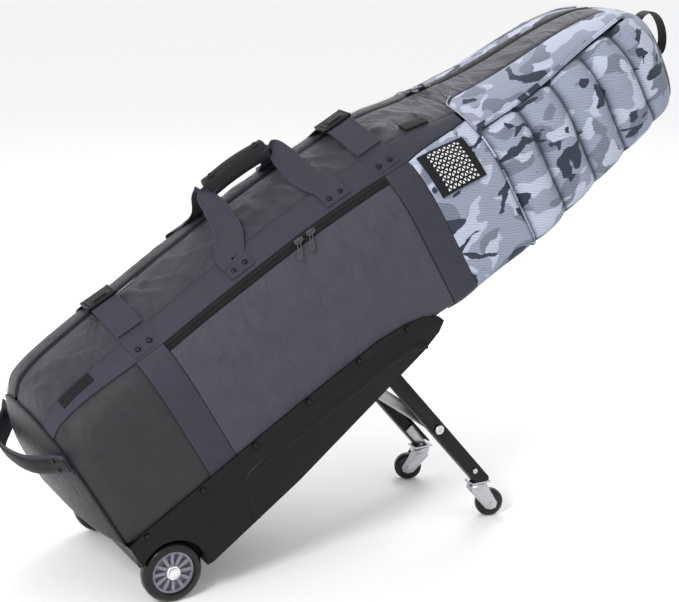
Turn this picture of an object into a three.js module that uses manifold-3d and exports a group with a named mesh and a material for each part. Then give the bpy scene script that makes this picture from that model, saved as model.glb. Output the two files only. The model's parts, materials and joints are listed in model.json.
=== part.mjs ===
// Wheeled golf travel case: a padded fabric bag riveted to a moulded base with two rear wheels
// and a pair of fold-out legs on swivel casters.
//
// The bag is drawn in a case frame: s runs up the case from its bottom end, y across it (its
// right side is -y) and n out of its top. Standing on its wheels and casters the case leans, so
// the case frame is the upright frame turned by LEAN about the ground point below the rear axle.

import * as THREE from 'three';
import { mergeVertices } from 'three/addons/utils/BufferGeometryUtils.js';
import Module from 'manifold-3d';

const wasm = await Module();
wasm.setup();

// ---------------------------------------------------------------- driving dimensions (mm)
const LEAN = THREE.MathUtils.degToRad(28.5);
const MIDDLE_X = 409.25; // upright x of the middle of the whole case

const GAP = 0.35;
const FABRIC = 3.5;
const PAD_THICKNESS = 7;
const BOTTOM_END = -12;
const HEAD_END = 1250;

// Outline of the bag against s: ridge height, floor height, half width and floor corner radius.
const RIDGE = [
  [-12, 356], [12, 380], [60, 393], [200, 406], [320, 416], [520, 424], [700, 416],
  [810, 392], [940, 369], [1090, 357], [1160, 345], [1215, 320], [1250, 290],
];
const FLOOR = [
  [-12, 124], [620, 124], [680, 117], [843, 116], [916, 126], [987, 136], [1069, 148],
  [1150, 156], [1200, 157], [1250, 166],
];
const HALF_WIDTH = [
  [-12, 150], [20, 165], [80, 166], [700, 166], [860, 164], [1000, 160], [1120, 153],
  [1165, 143], [1195, 123], [1222, 92], [1250, 50],
];
const CORNER = [[-12, 12], [640, 12], [760, 26], [1250, 26]];
const SHOULDER = 0.45; // height of the widest line between floor and ridge
const ROUNDNESS = 2 / 2.7; // exponent of the arched upper half

// Stations along s that every panel shares, so that neighbours keep the same facets.
const STATIONS = [
  -12, 10, 40, 90, 155, 206, 300, 420, 540, 620, 650, 698, 760, 822, 825, 828, 900, 980, 1060, 1120,
  1165, 1195, 1222, 1250,
];

// Angles round the section that every panel shares, up to the ridge; the left side mirrors them.
const RISING = [-65, -55, -45, 0, 14, 28, 41, 51, 61, 70, 80, 86];
const ANGLES = [...RISING, 90, ...RISING.map((a) => 180 - a).toReversed()];

// Seam lines between the panels. Angles run round the section: -90 is the middle of the floor,
// 0 the widest line of the right side, 90 the ridge and 180 the widest line of the left side.
const REAR_TRIM = [155, 206];
const FRONT_TRIM = [650, 698];
const BAND_END = 822;
const PIPING = 828;
const HEAD_PAD_END = 1165;
const COVER_END = 1195;
const ZIP_LOW = 34.5;
const ZIP_HIGH = 41;
const BAND_HIGH = 61;
const PAD_SEAM = 47;
const RIDGE_STRIP = 79.6;
const MAIN_ZIP = 97;
const SIDE_ZIP_SPAN = [211, 645];

const WHEEL_R = 50;
const WHEEL_W = 28;
const WHEEL_FACE = 168.5; // outer face of a rear wheel
const AXLE_R = 4;
const AXLE_S = WHEEL_R * Math.sin(LEAN);
const AXLE_N = WHEEL_R * Math.cos(LEAN);
const ARCH_R = 57;

const SHELL_FACE = 170;
const SHELL_WALL = 3.6;
const DECK = [119.8, 123.4]; // underside and top of the base's deck
const WELL_WALL = [129, 138]; // the wall that carries the axle, across y
const RIVETS = [[20.5, 129], [132, 135], [240, 143], [350, 148], [456, 151], [554, 145]];

const LEG_PIVOT = new THREE.Vector3(390, 0, 333);
const LEG_ANGLE = THREE.MathUtils.degToRad(50.3); // below horizontal
const LEG_LENGTH = 340;
const LEG_WIDTH = 25;
const LEG_FACE = 111.5;
const LEG_DEPTH = 20;
const CHANNEL_WALL = 2.6;
const BRACE_BOLT = 196.7; // from the leg pivot, along the leg
const BRACE_LENGTH = 213;
const BRACE_ANGLE = THREE.MathUtils.degToRad(36.2); // above horizontal, rising to the rear
const BRACE_FACE = 82;
const BRACE_DEPTH = 15;
const BRACE_WIDTH = 20;

const CASTER_R = 25;
const CASTER_W = 19;
const CASTER_X = 604;
const CASTER_Y = 99;
const CASTER_TRAIL = 22;
const CASTER_TURN = { right: -0.22, left: 2.66 }; // direction of trail at rest, radians
const PLATE_Z = 64.5;
const PLATE_THICKNESS = 3.5;
const PIN_R = 5;
const CHEEK = [11.6, 14]; // the fork's cheeks, across the wheel
const TUBE_R = 6;
const ROD_R = 4;

// ---------------------------------------------------------------- materials
const look = (color, roughness, metalness = 0) =>
  new THREE.MeshStandardMaterial({ color, roughness, metalness });
const MATERIAL = {
  nylon: look(0x4b4a50, 0.75),
  coverNylon: look(0x4d4a4c, 0.75),
  vinyl: look(0x3c3c3e, 0.55),
  webbing: look(0x42434d, 0.6),
  camo: look(0xa3a8b4, 0.8),
  zipper: look(0x1c1c1a, 0.6),
  zipMetal: look(0x2b2a29, 0.35, 0.8),
  shell: look(0x1b1b1c, 0.6),
  blackMetal: look(0x17171a, 0.5, 0.3),
  aluminium: look(0xb4b6b9, 0.35, 1),
  zinc: look(0xc9ccd0, 0.3, 1),
  steel: look(0x9a9ca0, 0.35, 1),
  tyre: look(0x141415, 0.5),
  rim: look(0x9c9aa6, 0.4, 0.6),
  gripRubber: look(0x2c2b2e, 0.7),
  buckle: look(0x1a1a1b, 0.45),
};

const travelCase = new THREE.Group();
travelCase.position.x = -MIDDLE_X;
const leaning = new THREE.Group();
leaning.rotation.y = -LEAN;
const upright = new THREE.Group();
travelCase.add(leaning, upright);

function node(parent, name, geometry, material) {
  const mesh = new THREE.Mesh(geometry, material);
  mesh.name = name;
  parent.add(mesh);
  return mesh;
}

// ---------------------------------------------------------------- solids
function toManifold(geometry) {
  const bare = geometry.clone();
  bare.deleteAttribute('normal');
  bare.deleteAttribute('uv');
  const merged = mergeVertices(bare, 1e-4);
  const mesh = new wasm.Mesh({
    numProp: 3,
    vertProperties: new Float32Array(merged.attributes.position.array),
    triVerts: new Uint32Array(merged.index.array),
  });
  return new wasm.Manifold(mesh);
}

function toGeometry(manifold) {
  const mesh = manifold.getMesh();
  const geometry = new THREE.BufferGeometry();
  geometry.setAttribute('position', new THREE.BufferAttribute(mesh.vertProperties, 3));
  geometry.setIndex(new THREE.BufferAttribute(mesh.triVerts, 1));
  return geometry;
}

function join(first, ...others) {
  return toGeometry(others.reduce((all, g) => all.add(toManifold(g)), toManifold(first)));
}

function cut(first, ...others) {
  return toGeometry(others.reduce((all, g) => all.subtract(toManifold(g)), toManifold(first)));
}

// An outline in x and z, extruded across y from y0 to y1.
function slab(outline, y0, y1) {
  const shape = Array.isArray(outline)
    ? new THREE.Shape(outline.map(([x, z]) => new THREE.Vector2(x, z)))
    : outline;
  const settings = { depth: y1 - y0, bevelEnabled: false, curveSegments: 8 };
  return new THREE.ExtrudeGeometry(shape, settings).rotateX(Math.PI / 2).translate(0, y1, 0);
}

function box(x0, x1, y0, y1, z0, z1) {
  const geometry = new THREE.BoxGeometry(x1 - x0, y1 - y0, z1 - z0);
  return geometry.translate((x0 + x1) / 2, (y0 + y1) / 2, (z0 + z1) / 2);
}

// A round bar across the case, from y0 to y1.
function crossBar(radius, y0, y1, x = 0, z = 0, sides = 16) {
  return new THREE.CylinderGeometry(radius, radius, y1 - y0, sides).translate(x, (y0 + y1) / 2, z);
}

// A turned body about the y axis from [radius, y] points.
function turned(points, sides = 24) {
  return new THREE.LatheGeometry(points.map(([r, y]) => new THREE.Vector2(r, y)), sides);
}

// A closed solid from rows of rings: each ring is a list of points, the ends are closed.
function loft(rings) {
  const count = rings[0].length;
  const position = rings.flat().flatMap((p) => [p.x, p.y, p.z]);
  const index = [];
  for (let i = 0; i + 1 < rings.length; i += 1) {
    for (let j = 0; j < count; j += 1) {
      const a = i * count + j;
      const b = i * count + ((j + 1) % count);
      index.push(a, b, a + count, b, b + count, a + count);
    }
  }
  const last = (rings.length - 1) * count;
  for (let j = 1; j + 1 < count; j += 1) {
    index.push(0, j + 1, j, last, last + j, last + j + 1);
  }
  return facingOut(position, index);
}

// A closed solid between two grids of points with the same rows and columns.
function skin(outer, inner) {
  const rows = outer.length;
  const columns = outer[0].length;
  const position = [...outer, ...inner].flat().flatMap((p) => [p.x, p.y, p.z]);
  const at = (i, j, inside) => (inside * rows + i) * columns + j;
  const index = [];
  const quad = (a, b, c, d) => index.push(a, b, c, a, c, d);
  for (let i = 0; i + 1 < rows; i += 1) {
    for (let j = 0; j + 1 < columns; j += 1) {
      quad(at(i, j, 0), at(i + 1, j, 0), at(i + 1, j + 1, 0), at(i, j + 1, 0));
      index.push(at(i, j, 1), at(i + 1, j + 1, 1), at(i + 1, j, 1));
      index.push(at(i, j, 1), at(i, j + 1, 1), at(i + 1, j + 1, 1));
    }
    quad(at(i, 0, 0), at(i, 0, 1), at(i + 1, 0, 1), at(i + 1, 0, 0));
    const j = columns - 1;
    quad(at(i, j, 0), at(i + 1, j, 0), at(i + 1, j, 1), at(i, j, 1));
  }
  for (let j = 0; j + 1 < columns; j += 1) {
    quad(at(0, j, 0), at(0, j + 1, 0), at(0, j + 1, 1), at(0, j, 1));
    const i = rows - 1;
    quad(at(i, j, 0), at(i, j, 1), at(i, j + 1, 1), at(i, j + 1, 0));
  }
  return facingOut(position, index);
}

function facingOut(position, index) {
  const at = (i) => new THREE.Vector3().fromArray(position, i * 3);
  let volume = 0;
  for (let i = 0; i < index.length; i += 3) {
    volume += at(index[i]).dot(at(index[i + 1]).cross(at(index[i + 2])));
  }
  if (volume < 0) index.reverse();
  const geometry = new THREE.BufferGeometry();
  geometry.setAttribute('position', new THREE.Float32BufferAttribute(position, 3));
  geometry.setIndex(index);
  return geometry;
}

// A flat strap through stations of { at, across, width, thickness, up }.
function strap(stations) {
  return loft(stations.map(({ at, across, width, thickness, up }) => {
    const half = across.clone().normalize().multiplyScalar(width / 2);
    const rise = up.clone().normalize().multiplyScalar(thickness);
    const left = at.clone().sub(half);
    const right = at.clone().add(half);
    return [left, right, right.clone().add(rise), left.clone().add(rise)];
  }));
}

// ---------------------------------------------------------------- the bag's surface
// A smooth curve through [s, value] keys that never overshoots them.
function through(keys, s) {
  const slope = (i) => (keys[i + 1][1] - keys[i][1]) / (keys[i + 1][0] - keys[i][0]);
  const tangent = (i) => {
    if (i === 0) return slope(0);
    if (i === keys.length - 1) return slope(i - 1);
    const [a, b] = [slope(i - 1), slope(i)];
    return a * b <= 0 ? 0 : (2 * a * b) / (a + b);
  };
  const x = THREE.MathUtils.clamp(s, keys[0][0], keys[keys.length - 1][0]);
  const i = Math.max(0, Math.min(keys.findIndex(([k]) => k >= x) - 1, keys.length - 2));
  const h = keys[i + 1][0] - keys[i][0];
  const t = (x - keys[i][0]) / h;
  const rise = (3 - 2 * t) * t * t;
  return keys[i][1] * (1 - rise) + keys[i + 1][1] * rise
    + h * t * (1 - t) * ((1 - t) * tangent(i) - t * tangent(i + 1));
}

function rawPoint(s, angle) {
  const ridge = through(RIDGE, s);
  const floor = through(FLOOR, s);
  const wide = through(HALF_WIDTH, s);
  const corner = through(CORNER, s);
  const shoulder = floor + (ridge - floor) * SHOULDER;
  const left = angle > 90 || angle < -90;
  const turn = left ? Math.sign(angle) * 180 - angle : angle;
  let y = wide;
  let n = shoulder;
  if (turn >= 0) {
    const a = THREE.MathUtils.degToRad(turn);
    y = wide * Math.abs(Math.cos(a)) ** ROUNDNESS;
    n = shoulder + (ridge - shoulder) * Math.abs(Math.sin(a)) ** ROUNDNESS;
  } else if (turn >= -45) {
    n = shoulder + ((shoulder - floor - corner) * turn) / 45;
  } else if (turn >= -65) {
    const a = THREE.MathUtils.degToRad((-(turn + 45) * 90) / 20);
    y = wide - corner * (1 - Math.cos(a));
    n = floor + corner * (1 - Math.sin(a));
  } else {
    y = ((wide - corner) * (turn + 90)) / 25;
    n = floor;
  }
  return new THREE.Vector3(s, left ? y : -y, n);
}

// A point on the bag, moved in by `inset` along the surface normal.
function bagPoint(s, angle, inset = 0) {
  const along = rawPoint(s + 2, angle).sub(rawPoint(s - 2, angle));
  const round = rawPoint(s, angle + 1).sub(rawPoint(s, angle - 1));
  const outward = along.cross(round).normalize();
  return rawPoint(s, angle).addScaledVector(outward, -inset);
}

// A sewn panel of the bag between two stations and two seam angles. `low` and `high` may be
// numbers or functions of s. Its outer face lies `inset` below the bag's surface.
function panel({ from, to, low, high, inset = 0, thickness = FABRIC }) {
  const value = (x, s) => (typeof x === 'function' ? x(s) : x);
  const rows = [from, ...STATIONS.filter((s) => s > from + 2 && s < to - 2), to];
  const lowest = Math.max(...rows.map((s) => value(low, s)));
  const highest = Math.min(...rows.map((s) => value(high, s)));
  const between = ANGLES.filter((a) => a > lowest + 2 && a < highest - 2);
  const grid = (depth) => rows.map((s) =>
    [value(low, s), ...between, value(high, s)].map((a) => bagPoint(s, a, depth)));
  const outer = grid(inset);
  const inner = grid(inset + thickness);
  return skin(outer, inner);
}

// ---------------------------------------------------------------- bag
const bandLow = (s) => (s < 206 ? 48 - ((s + 12) * 6.7) / 218 : 41.3)
  + Math.max(0, (s - 698) / (BAND_END - 698)) * 10;
const insetAngle = 0.35;
const SIDES = [['right', 1], ['left', -1]];

// Mirrors a pair of right-side seam angles onto the side asked for.
function onSide(sign, low, high) {
  const flip = (x) => (typeof x === 'function' ? (s) => 180 - x(s) : 180 - x);
  return sign > 0 ? { low, high } : { low: flip(high), high: flip(low) };
}

function makeSidePanels(side, sign) {
  const seam = 0.3;
  const belowBand = (s) => bandLow(s) - insetAngle;
  const shapes = [
    ['lower_side_panel', BOTTOM_END, REAR_TRIM[0] - seam, -55, belowBand, MATERIAL.vinyl],
    ['rear_trim', REAR_TRIM[0] + seam, REAR_TRIM[1] - seam, -55, belowBand, MATERIAL.webbing],
    ['side_panel', REAR_TRIM[1] + seam, FRONT_TRIM[0] - seam, -55, ZIP_LOW - insetAngle,
      MATERIAL.nylon],
    ['front_trim', FRONT_TRIM[0] + seam, FRONT_TRIM[1] - seam, -63.5, belowBand,
      MATERIAL.webbing],
  ];
  for (const [name, from, to, low, high, material] of shapes) {
    const whole = panel({ from, to, ...onSide(sign, low, high) });
    const holes = RIVETS.filter(([s]) => s > from && s < to).map(([s, n]) =>
      crossBar(2.4, 150, 175, s, n, 8).scale(1, -sign, 1));
    const drills = holes.map((hole) => (sign > 0 ? flipFaces(hole) : hole));
    const solid = drills.length > 0 ? cut(whole, ...drills) : whole;
    node(leaning, `${name}_${side}`, solid, material);
  }
}

function flipFaces(geometry) {
  const index = Array.from(geometry.index.array).reverse();
  geometry.setIndex(index);
  return geometry;
}

// The camo side of the head steps in at the piping and runs on under the quilted pad.
function makeHeadSide(side, sign) {
  const depth = PAD_THICKNESS + 1.5;
  const thickness = 3;
  const underBand = onSide(sign, -63.5, (s) => bandLow(Math.min(s, BAND_END)) - insetAngle);
  const rear = panel({ from: FRONT_TRIM[1] + 0.3, to: PIPING - 1, thickness, ...underBand });
  const step = panel({
    from: PIPING - 4, to: PIPING - 1.3, inset: 0.6, thickness: depth + 1, ...underBand,
  });
  const forward = panel({
    from: PIPING - 2.5, to: COVER_END, inset: depth, thickness,
    ...onSide(sign, -63.5, RIDGE_STRIP),
  });
  node(leaning, `head_side_panel_${side}`, join(rear, step, forward), MATERIAL.camo);
  const pad = panel({
    from: PIPING + 3, to: HEAD_PAD_END, thickness: PAD_THICKNESS, ...onSide(sign, -63.5, PAD_SEAM),
  });
  node(leaning, `head_pad_${side}`, pad, MATERIAL.camo);
}

function makeBand(side, sign) {
  const band = panel({
    from: BOTTOM_END, to: BAND_END, inset: -0.8, thickness: FABRIC,
    ...onSide(sign, bandLow, BAND_HIGH),
  });
  node(leaning, `shoulder_band_${side}`, band, MATERIAL.webbing);
}

for (const [side, sign] of SIDES) {
  makeSidePanels(side, sign);
  makeHeadSide(side, sign);
  makeBand(side, sign);
}

// The two top covers meet at the main zipper. Past the piping they narrow to the ridge strips.
function makeTopCover(side, wideSpan, stripSpan) {
  const wide = panel({ from: BOTTOM_END, to: PIPING - 1, ...wideSpan });
  const strip = panel({ from: PIPING - 4, to: COVER_END, ...stripSpan });
  node(leaning, `top_cover_${side}`, join(wide, strip), MATERIAL.coverNylon);
}
makeTopCover(
  'right',
  { low: BAND_HIGH + insetAngle, high: MAIN_ZIP - 2 },
  { low: RIDGE_STRIP + insetAngle, high: MAIN_ZIP - 2 },
);
makeTopCover(
  'left',
  { low: MAIN_ZIP + 2, high: 180 - BAND_HIGH - insetAngle },
  { low: MAIN_ZIP + 2, high: 180 - RIDGE_STRIP - insetAngle - 0.5 },
);
node(leaning, 'floor_panel', panel({
  from: BOTTOM_END, to: COVER_END, low: -115.5, high: -64.5,
}), MATERIAL.nylon);

// A closed ring of the bag's section at station s, shrunk to a fraction k of its size.
function sectionRing(s, k = 1, inset = 0, shift = 0) {
  const middle = (through(RIDGE, s) + through(FLOOR, s)) / 2;
  return Array.from({ length: 24 }, (_, j) => {
    const rim = bagPoint(s, -90 + j * 15, inset);
    return new THREE.Vector3(s + shift, rim.y * k, middle + (rim.z - middle) * k);
  });
}

// The bottom end swells out over its rim.
const DOME = [1, 0.8, 0.55, 0.3, 0.1];
const END_BULGE = 30;
const endShift = (k, out) => -out - END_BULGE * (1 - k ** 2);
node(leaning, 'end_panel', loft([
  ...DOME.toReversed().map((k) => sectionRing(BOTTOM_END, k, 0, endShift(k, GAP))),
  ...DOME.map((k) => sectionRing(BOTTOM_END, k, 0, endShift(k, GAP + FABRIC))),
]), MATERIAL.vinyl);

// The head end is a moulded cup that closes the padded head.
const CUP = [COVER_END + 0.6, 1209, 1222, 1236, HEAD_END];
const CUP_WALL = 4;
const HEAD_BULGE = 19;
node(leaning, 'head_end_cap', loft([
  ...DOME.slice(1).toReversed().map((k) =>
    sectionRing(HEAD_END, k * 0.95, 0, HEAD_BULGE * (1 - k ** 2) - CUP_WALL)),
  ...CUP.toReversed().map((s) => sectionRing(s, 1, CUP_WALL, s === HEAD_END ? -CUP_WALL : 0)),
  ...CUP.map((s) => sectionRing(s)),
  ...DOME.slice(1).map((k) => sectionRing(HEAD_END, k, 0, HEAD_BULGE * (1 - k ** 2))),
]), MATERIAL.camo);

// ---------------------------------------------------------------- zippers
// A zipper tape fills the seam; its coil stands a little proud of it.
for (const [side, sign] of SIDES) {
  const tape = panel({
    from: SIDE_ZIP_SPAN[0] - 4, to: SIDE_ZIP_SPAN[1] + 4, thickness: 2,
    ...onSide(sign, ZIP_LOW + insetAngle, ZIP_HIGH - insetAngle),
  });
  node(leaning, `side_zipper_${side}`, tape, MATERIAL.zipper);
}
node(leaning, 'main_zipper', panel({
  from: 40, to: COVER_END - 4, low: MAIN_ZIP - 1.6, high: MAIN_ZIP + 1.6, thickness: 2,
}), MATERIAL.zipper);

// A slider with its pull: a wedge body over the coil and a tab that lies down the panel.
function makeSlider(name, s, angle, drop) {
  const at = bagPoint(s, angle, 0);
  const up = bagPoint(s, angle, -1).sub(at);
  const along = new THREE.Vector3(1, 0, 0);
  const down = along.clone().cross(up).normalize().multiplyScalar(drop);
  const body = strap([-8, 8].map((x) => ({
    at: at.clone().addScaledVector(along, x).addScaledVector(up, 2.2),
    across: down, width: x < 0 ? 9 : 7, thickness: 4, up,
  })));
  const tab = strap([0, 30].map((x) => ({
    at: at.clone().addScaledVector(down, x).addScaledVector(up, 4.4 + x * 0.05),
    across: along, width: 6, thickness: 1.6, up,
  })));
  node(leaning, name, join(body, tab), MATERIAL.zipMetal);
}
for (const [side, sign] of SIDES) {
  const middle = sign > 0 ? (ZIP_LOW + ZIP_HIGH) / 2 : 180 - (ZIP_LOW + ZIP_HIGH) / 2;
  makeSlider(`side_slider_rear_${side}`, 471, middle, sign);
  makeSlider(`side_slider_front_${side}`, 495, middle, sign);
}
makeSlider('main_slider_rear', 822, MAIN_ZIP, 1);
makeSlider('main_slider_front', 846, MAIN_ZIP, 1);

// ---------------------------------------------------------------- straps and handles
const STRAP_WIDTH = 48;
const STRAP_THICKNESS = 2;
const ABOVE = 1.4; // a strap's underside over the fabric

function rivet(s, angle) {
  const foot = bagPoint(s, angle, -ABOVE - 0.6);
  const up = bagPoint(s, angle, -ABOVE - 1.6).sub(foot).normalize();
  const head = new THREE.CylinderGeometry(2.2, 4.2, 2.6, 8).translate(0, 1.3, 0);
  head.applyQuaternion(new THREE.Quaternion().setFromUnitVectors(new THREE.Vector3(0, 1, 0), up));
  return head.translate(foot.x, foot.y, foot.z);
}

// A compression strap is riveted to both shoulder bands and stands clear of the ridge, where
// its side-release buckle sits.
function makeCompressionStrap(name, s, lift) {
  const angles = [46, 52, 58, 66, 74, 82, 90, 98, 106, 114, 122, 128, 134];
  const stations = angles.map((angle) => {
    const rise = Math.max(0, Math.sin(((angle - 58) / 64) * Math.PI)) * lift;
    return {
      at: bagPoint(s, angle, -ABOVE - rise), across: new THREE.Vector3(1, 0, 0),
      width: STRAP_WIDTH, thickness: STRAP_THICKNESS,
      up: bagPoint(s, angle, -2).sub(bagPoint(s, angle, 0)),
    };
  });
  const rivets = [49, 131].flatMap((angle) => [rivet(s - 11, angle), rivet(s + 11, angle)]);
  node(leaning, `${name}_strap`, join(strap(stations), ...rivets), MATERIAL.webbing);
  const top = bagPoint(s, 90, -ABOVE - lift - STRAP_THICKNESS - GAP);
  const half = STRAP_WIDTH / 2 + 3;
  node(leaning, `${name}_buckle`, box(s - half, s + half, -26, 26, top.z, top.z + 10),
    MATERIAL.buckle);
}
makeCompressionStrap('rear_compression', 181, 20);
makeCompressionStrap('front_compression', 664, 22);

// The carry handle: two webbing loops rise from the shoulder bands and run through one grip.
const GRIP = { from: 422, to: 538, n: 474, radius: 14 };
const HANDLE_ENDS = [373, 565];
function makeHandleLoop(side, sign) {
  const angleOn = (a) => (sign > 0 ? a : 180 - a);
  const coreN = GRIP.n + 2.6 * sign;
  const leg = (s, gripS) => {
    const lower = [46, 52, 58].map((a) => ({
      at: bagPoint(s, angleOn(a), -ABOVE), across: new THREE.Vector3(1, 0, 0),
      width: STRAP_WIDTH - 2, thickness: STRAP_THICKNESS,
      up: bagPoint(s, angleOn(a), -2).sub(bagPoint(s, angleOn(a), 0)),
    }));
    const outward = Math.sign(s - gripS);
    const free = [0.45, 1].map((k) => ({
      at: new THREE.Vector3(
        THREE.MathUtils.lerp(s, gripS + outward * 14, k),
        THREE.MathUtils.lerp(-92, -9, k) * sign,
        THREE.MathUtils.lerp(412, coreN - 1.2, k),
      ),
      across: new THREE.Vector3(1, 0.4 * sign * outward * k, 0), width: k < 1 ? 40 : 22,
      thickness: STRAP_THICKNESS, up: new THREE.Vector3(0, -0.5 * sign, 1),
    }));
    return strap([...lower, ...free]);
  };
  const core = box(GRIP.from - 18, GRIP.to + 18, -10, 10, coreN - 1.4, coreN + 1.4);
  const rivets = HANDLE_ENDS.flatMap((s) =>
    [rivet(s - 10, angleOn(49)), rivet(s + 10, angleOn(49))]);
  node(leaning, `handle_loop_${side}`, join(
    core, leg(HANDLE_ENDS[0], GRIP.from), leg(HANDLE_ENDS[1], GRIP.to), ...rivets,
  ), MATERIAL.webbing);
}
for (const [side, sign] of SIDES) makeHandleLoop(side, sign);

const gripSection = new THREE.CylinderGeometry(GRIP.radius, GRIP.radius, GRIP.to - GRIP.from, 16)
  .rotateZ(Math.PI / 2).scale(1, 1.15, 1)
  .translate((GRIP.from + GRIP.to) / 2, 0, GRIP.n);
const gripSlot = box(GRIP.from - 1, GRIP.to + 1, -10.8, 10.8, GRIP.n - 4.5, GRIP.n + 4.5);
node(leaning, 'handle_grip', cut(gripSection, gripSlot), MATERIAL.gripRubber);

// The haul loop across the bottom end, and the small loop on the head end.
const HAUL_N = 300;
// Clearance of the swollen bottom end from its rim plane, at y on the haul loop's line.
const endSwell = (y) => {
  const rise = (HAUL_N - 19 - 240) / 116;
  const k = (Math.abs(y / 150) ** 2.7 + rise ** 2.7) ** (1 / 2.7);
  return GAP + FABRIC + END_BULGE * Math.max(0, 1 - k ** 2);
};
const haulPath = [[-140, 0, 0], [-126, 0, 0], [-112, 0, 0], [-84, 14, 3], [-45, 25, 10]];
const haulPoints = [...haulPath, [0, 29, 13], ...haulPath.map(([y, out, up]) => [-y, out, up])
  .toReversed()];
node(leaning, 'haul_loop', strap(haulPoints.map(([y, out, up]) => ({
  at: new THREE.Vector3(BOTTOM_END - endSwell(y) - 1.2 - out, y, HAUL_N + up),
  across: new THREE.Vector3(0, 0, 1), width: 38, thickness: 2.5, up: new THREE.Vector3(-1, 0, 0),
}))), MATERIAL.webbing);

const headLoopPoints = [[1269, 262], [1284, 268], [1297, 259], [1303, 234], [1296, 206],
  [1283, 190], [1269, 196]];
const headLoop = strap(headLoopPoints.map(([s, n], i) => {
  const [before, after] = [Math.max(0, i - 1), Math.min(headLoopPoints.length - 1, i + 1)];
  const run = new THREE.Vector3(headLoopPoints[after][0] - headLoopPoints[before][0], 0,
    headLoopPoints[after][1] - headLoopPoints[before][1]);
  return {
    at: new THREE.Vector3(s, 0, n), across: new THREE.Vector3(0, 1, 0), width: 24, thickness: 2,
    up: new THREE.Vector3(-run.z, 0, run.x),
  };
}));
node(leaning, 'head_loop', headLoop, MATERIAL.webbing);

// ---------------------------------------------------------------- moulded base
const BASE_SIDE = [
  [-12, 68], [0, 34], [26, 26], [87, 18.5], [274, 41], [500, 82], [560, 92], [600, 104],
  [617, 116], [612, 128], [590, 143], [556, 153], [500, 159], [420, 157], [330, 154], [240, 150],
  [120, 143], [20, 137], [-12, 131],
];
const RIVET_RECESS = 6.5; // radius of the shallow recess round each rivet head
const BAY = [[84, -20], [598, -20], [598, DECK[0]], [84, DECK[0]]];
const PIVOT_CASE = new THREE.Vector2(
  LEG_PIVOT.x * Math.cos(LEAN) + LEG_PIVOT.z * Math.sin(LEAN),
  LEG_PIVOT.z * Math.cos(LEAN) - LEG_PIVOT.x * Math.sin(LEAN),
);
const BRACKET = [114, 119]; // the leg brackets, across y

// The y range from `near` to `far` off the middle, on the side asked for.
const spanOn = (sign, near, far) => (sign > 0 ? [-far, -near] : [near, far]);

const inside = SHELL_FACE - SHELL_WALL;
const baseCuts = [
  box(-20, 640, -inside, inside, DECK[1], 220),
  slab(BAY, -inside, inside),
  box(-8, 85, -WELL_WALL[0], WELL_WALL[0], -20, DECK[0]),
];
for (const [, sign] of SIDES) {
  baseCuts.push(
    crossBar(ARCH_R, ...spanOn(sign, WELL_WALL[1], 180), AXLE_S, AXLE_N, 28),
    crossBar(AXLE_R + GAP, ...spanOn(sign, 120, 145), AXLE_S, AXLE_N, 12),
    ...RIVETS.map(([s, n]) => crossBar(2.4, ...spanOn(sign, 160, 175), s, n, 8)),
    ...RIVETS.map(([s, n]) => crossBar(RIVET_RECESS, ...spanOn(sign, 169.2, 175), s, n, 12)),
  );
}
const brackets = SIDES.map(([, sign]) => cut(
  slab([[-26, 15], [-13, -13], [13, -13], [26, 15]], ...spanOn(sign, ...BRACKET))
    .translate(PIVOT_CASE.x, 0, PIVOT_CASE.y),
  crossBar(TUBE_R + GAP, -130, 130, PIVOT_CASE.x, PIVOT_CASE.y, 12),
));
const base = join(cut(slab(BASE_SIDE, -SHELL_FACE, SHELL_FACE), ...baseCuts), ...brackets);
node(leaning, 'base_shell', base, MATERIAL.shell);

// One retaining strip with its row of dome rivets on each side clamps the fabric to the base.
for (const [side, sign] of SIDES) {
  const lower = RIVETS.map(([s, n]) => [s, n - 5.5]);
  const upper = RIVETS.map(([s, n]) => [s, n + 5.5]).toReversed();
  const fasteners = RIVETS.flatMap(([s, n]) => [
    crossBar(2, ...spanOn(sign, 156, SHELL_FACE + 1), s, n, 8),
    crossBar(4.6, ...spanOn(sign, SHELL_FACE + 0.4, SHELL_FACE + 2.2), s, n, 10),
  ]);
  const plate = slab([...lower, ...upper], ...spanOn(sign, 155, 157));
  node(leaning, `retaining_strip_${side}`, join(plate, ...fasteners), MATERIAL.blackMetal);
}

// ---------------------------------------------------------------- rear wheels
node(upright, 'rear_axle', crossBar(AXLE_R, -158, 158, 0, WHEEL_R, 16), MATERIAL.steel);

function makeRearWheel(side, sign) {
  const place = (geometry) => {
    const outwards = sign > 0 ? geometry.rotateZ(Math.PI) : geometry;
    return outwards.translate(0, -sign * (WHEEL_FACE - WHEEL_W / 2), WHEEL_R);
  };
  const h = WHEEL_W / 2;
  const tyre = turned([
    [35.4, -h + 3], [36.5, -h + 1], [44, -h + 1], [48.5, -h + 5], [WHEEL_R, -h + 9],
    [WHEEL_R, h - 9], [48.5, h - 5], [44, h - 1], [36.5, h - 1], [35.4, h - 3], [35.4, -h + 3],
  ], 28);
  node(upright, `rear_tyre_${side}`, place(tyre), MATERIAL.tyre);
  const rim = turned([[31.6, -9], [35, -9], [35, 9], [31.6, 9], [31.6, -9]], 28);
  const hub = turned([
    [AXLE_R + GAP, -h], [10, -h], [12.5, -h + 4], [12.5, h - 4], [10, h - 1.5],
    [AXLE_R + GAP, h - 1.5], [AXLE_R + GAP, -h],
  ], 20);
  const web = turned([[11, -3], [33, -3], [33, 0], [11, 0], [11, -3]]);
  const spokes = Array.from({ length: 6 }, (_, i) =>
    cut(box(-33, 33, -1, 7.5, -2.6, 2.6), crossBar(11, -20, 20))
      .rotateY((i * Math.PI) / 6));
  node(upright, `rear_rim_${side}`, place(join(rim, hub, web, ...spokes)), MATERIAL.rim);
}
for (const [side, sign] of SIDES) makeRearWheel(side, sign);

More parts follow.
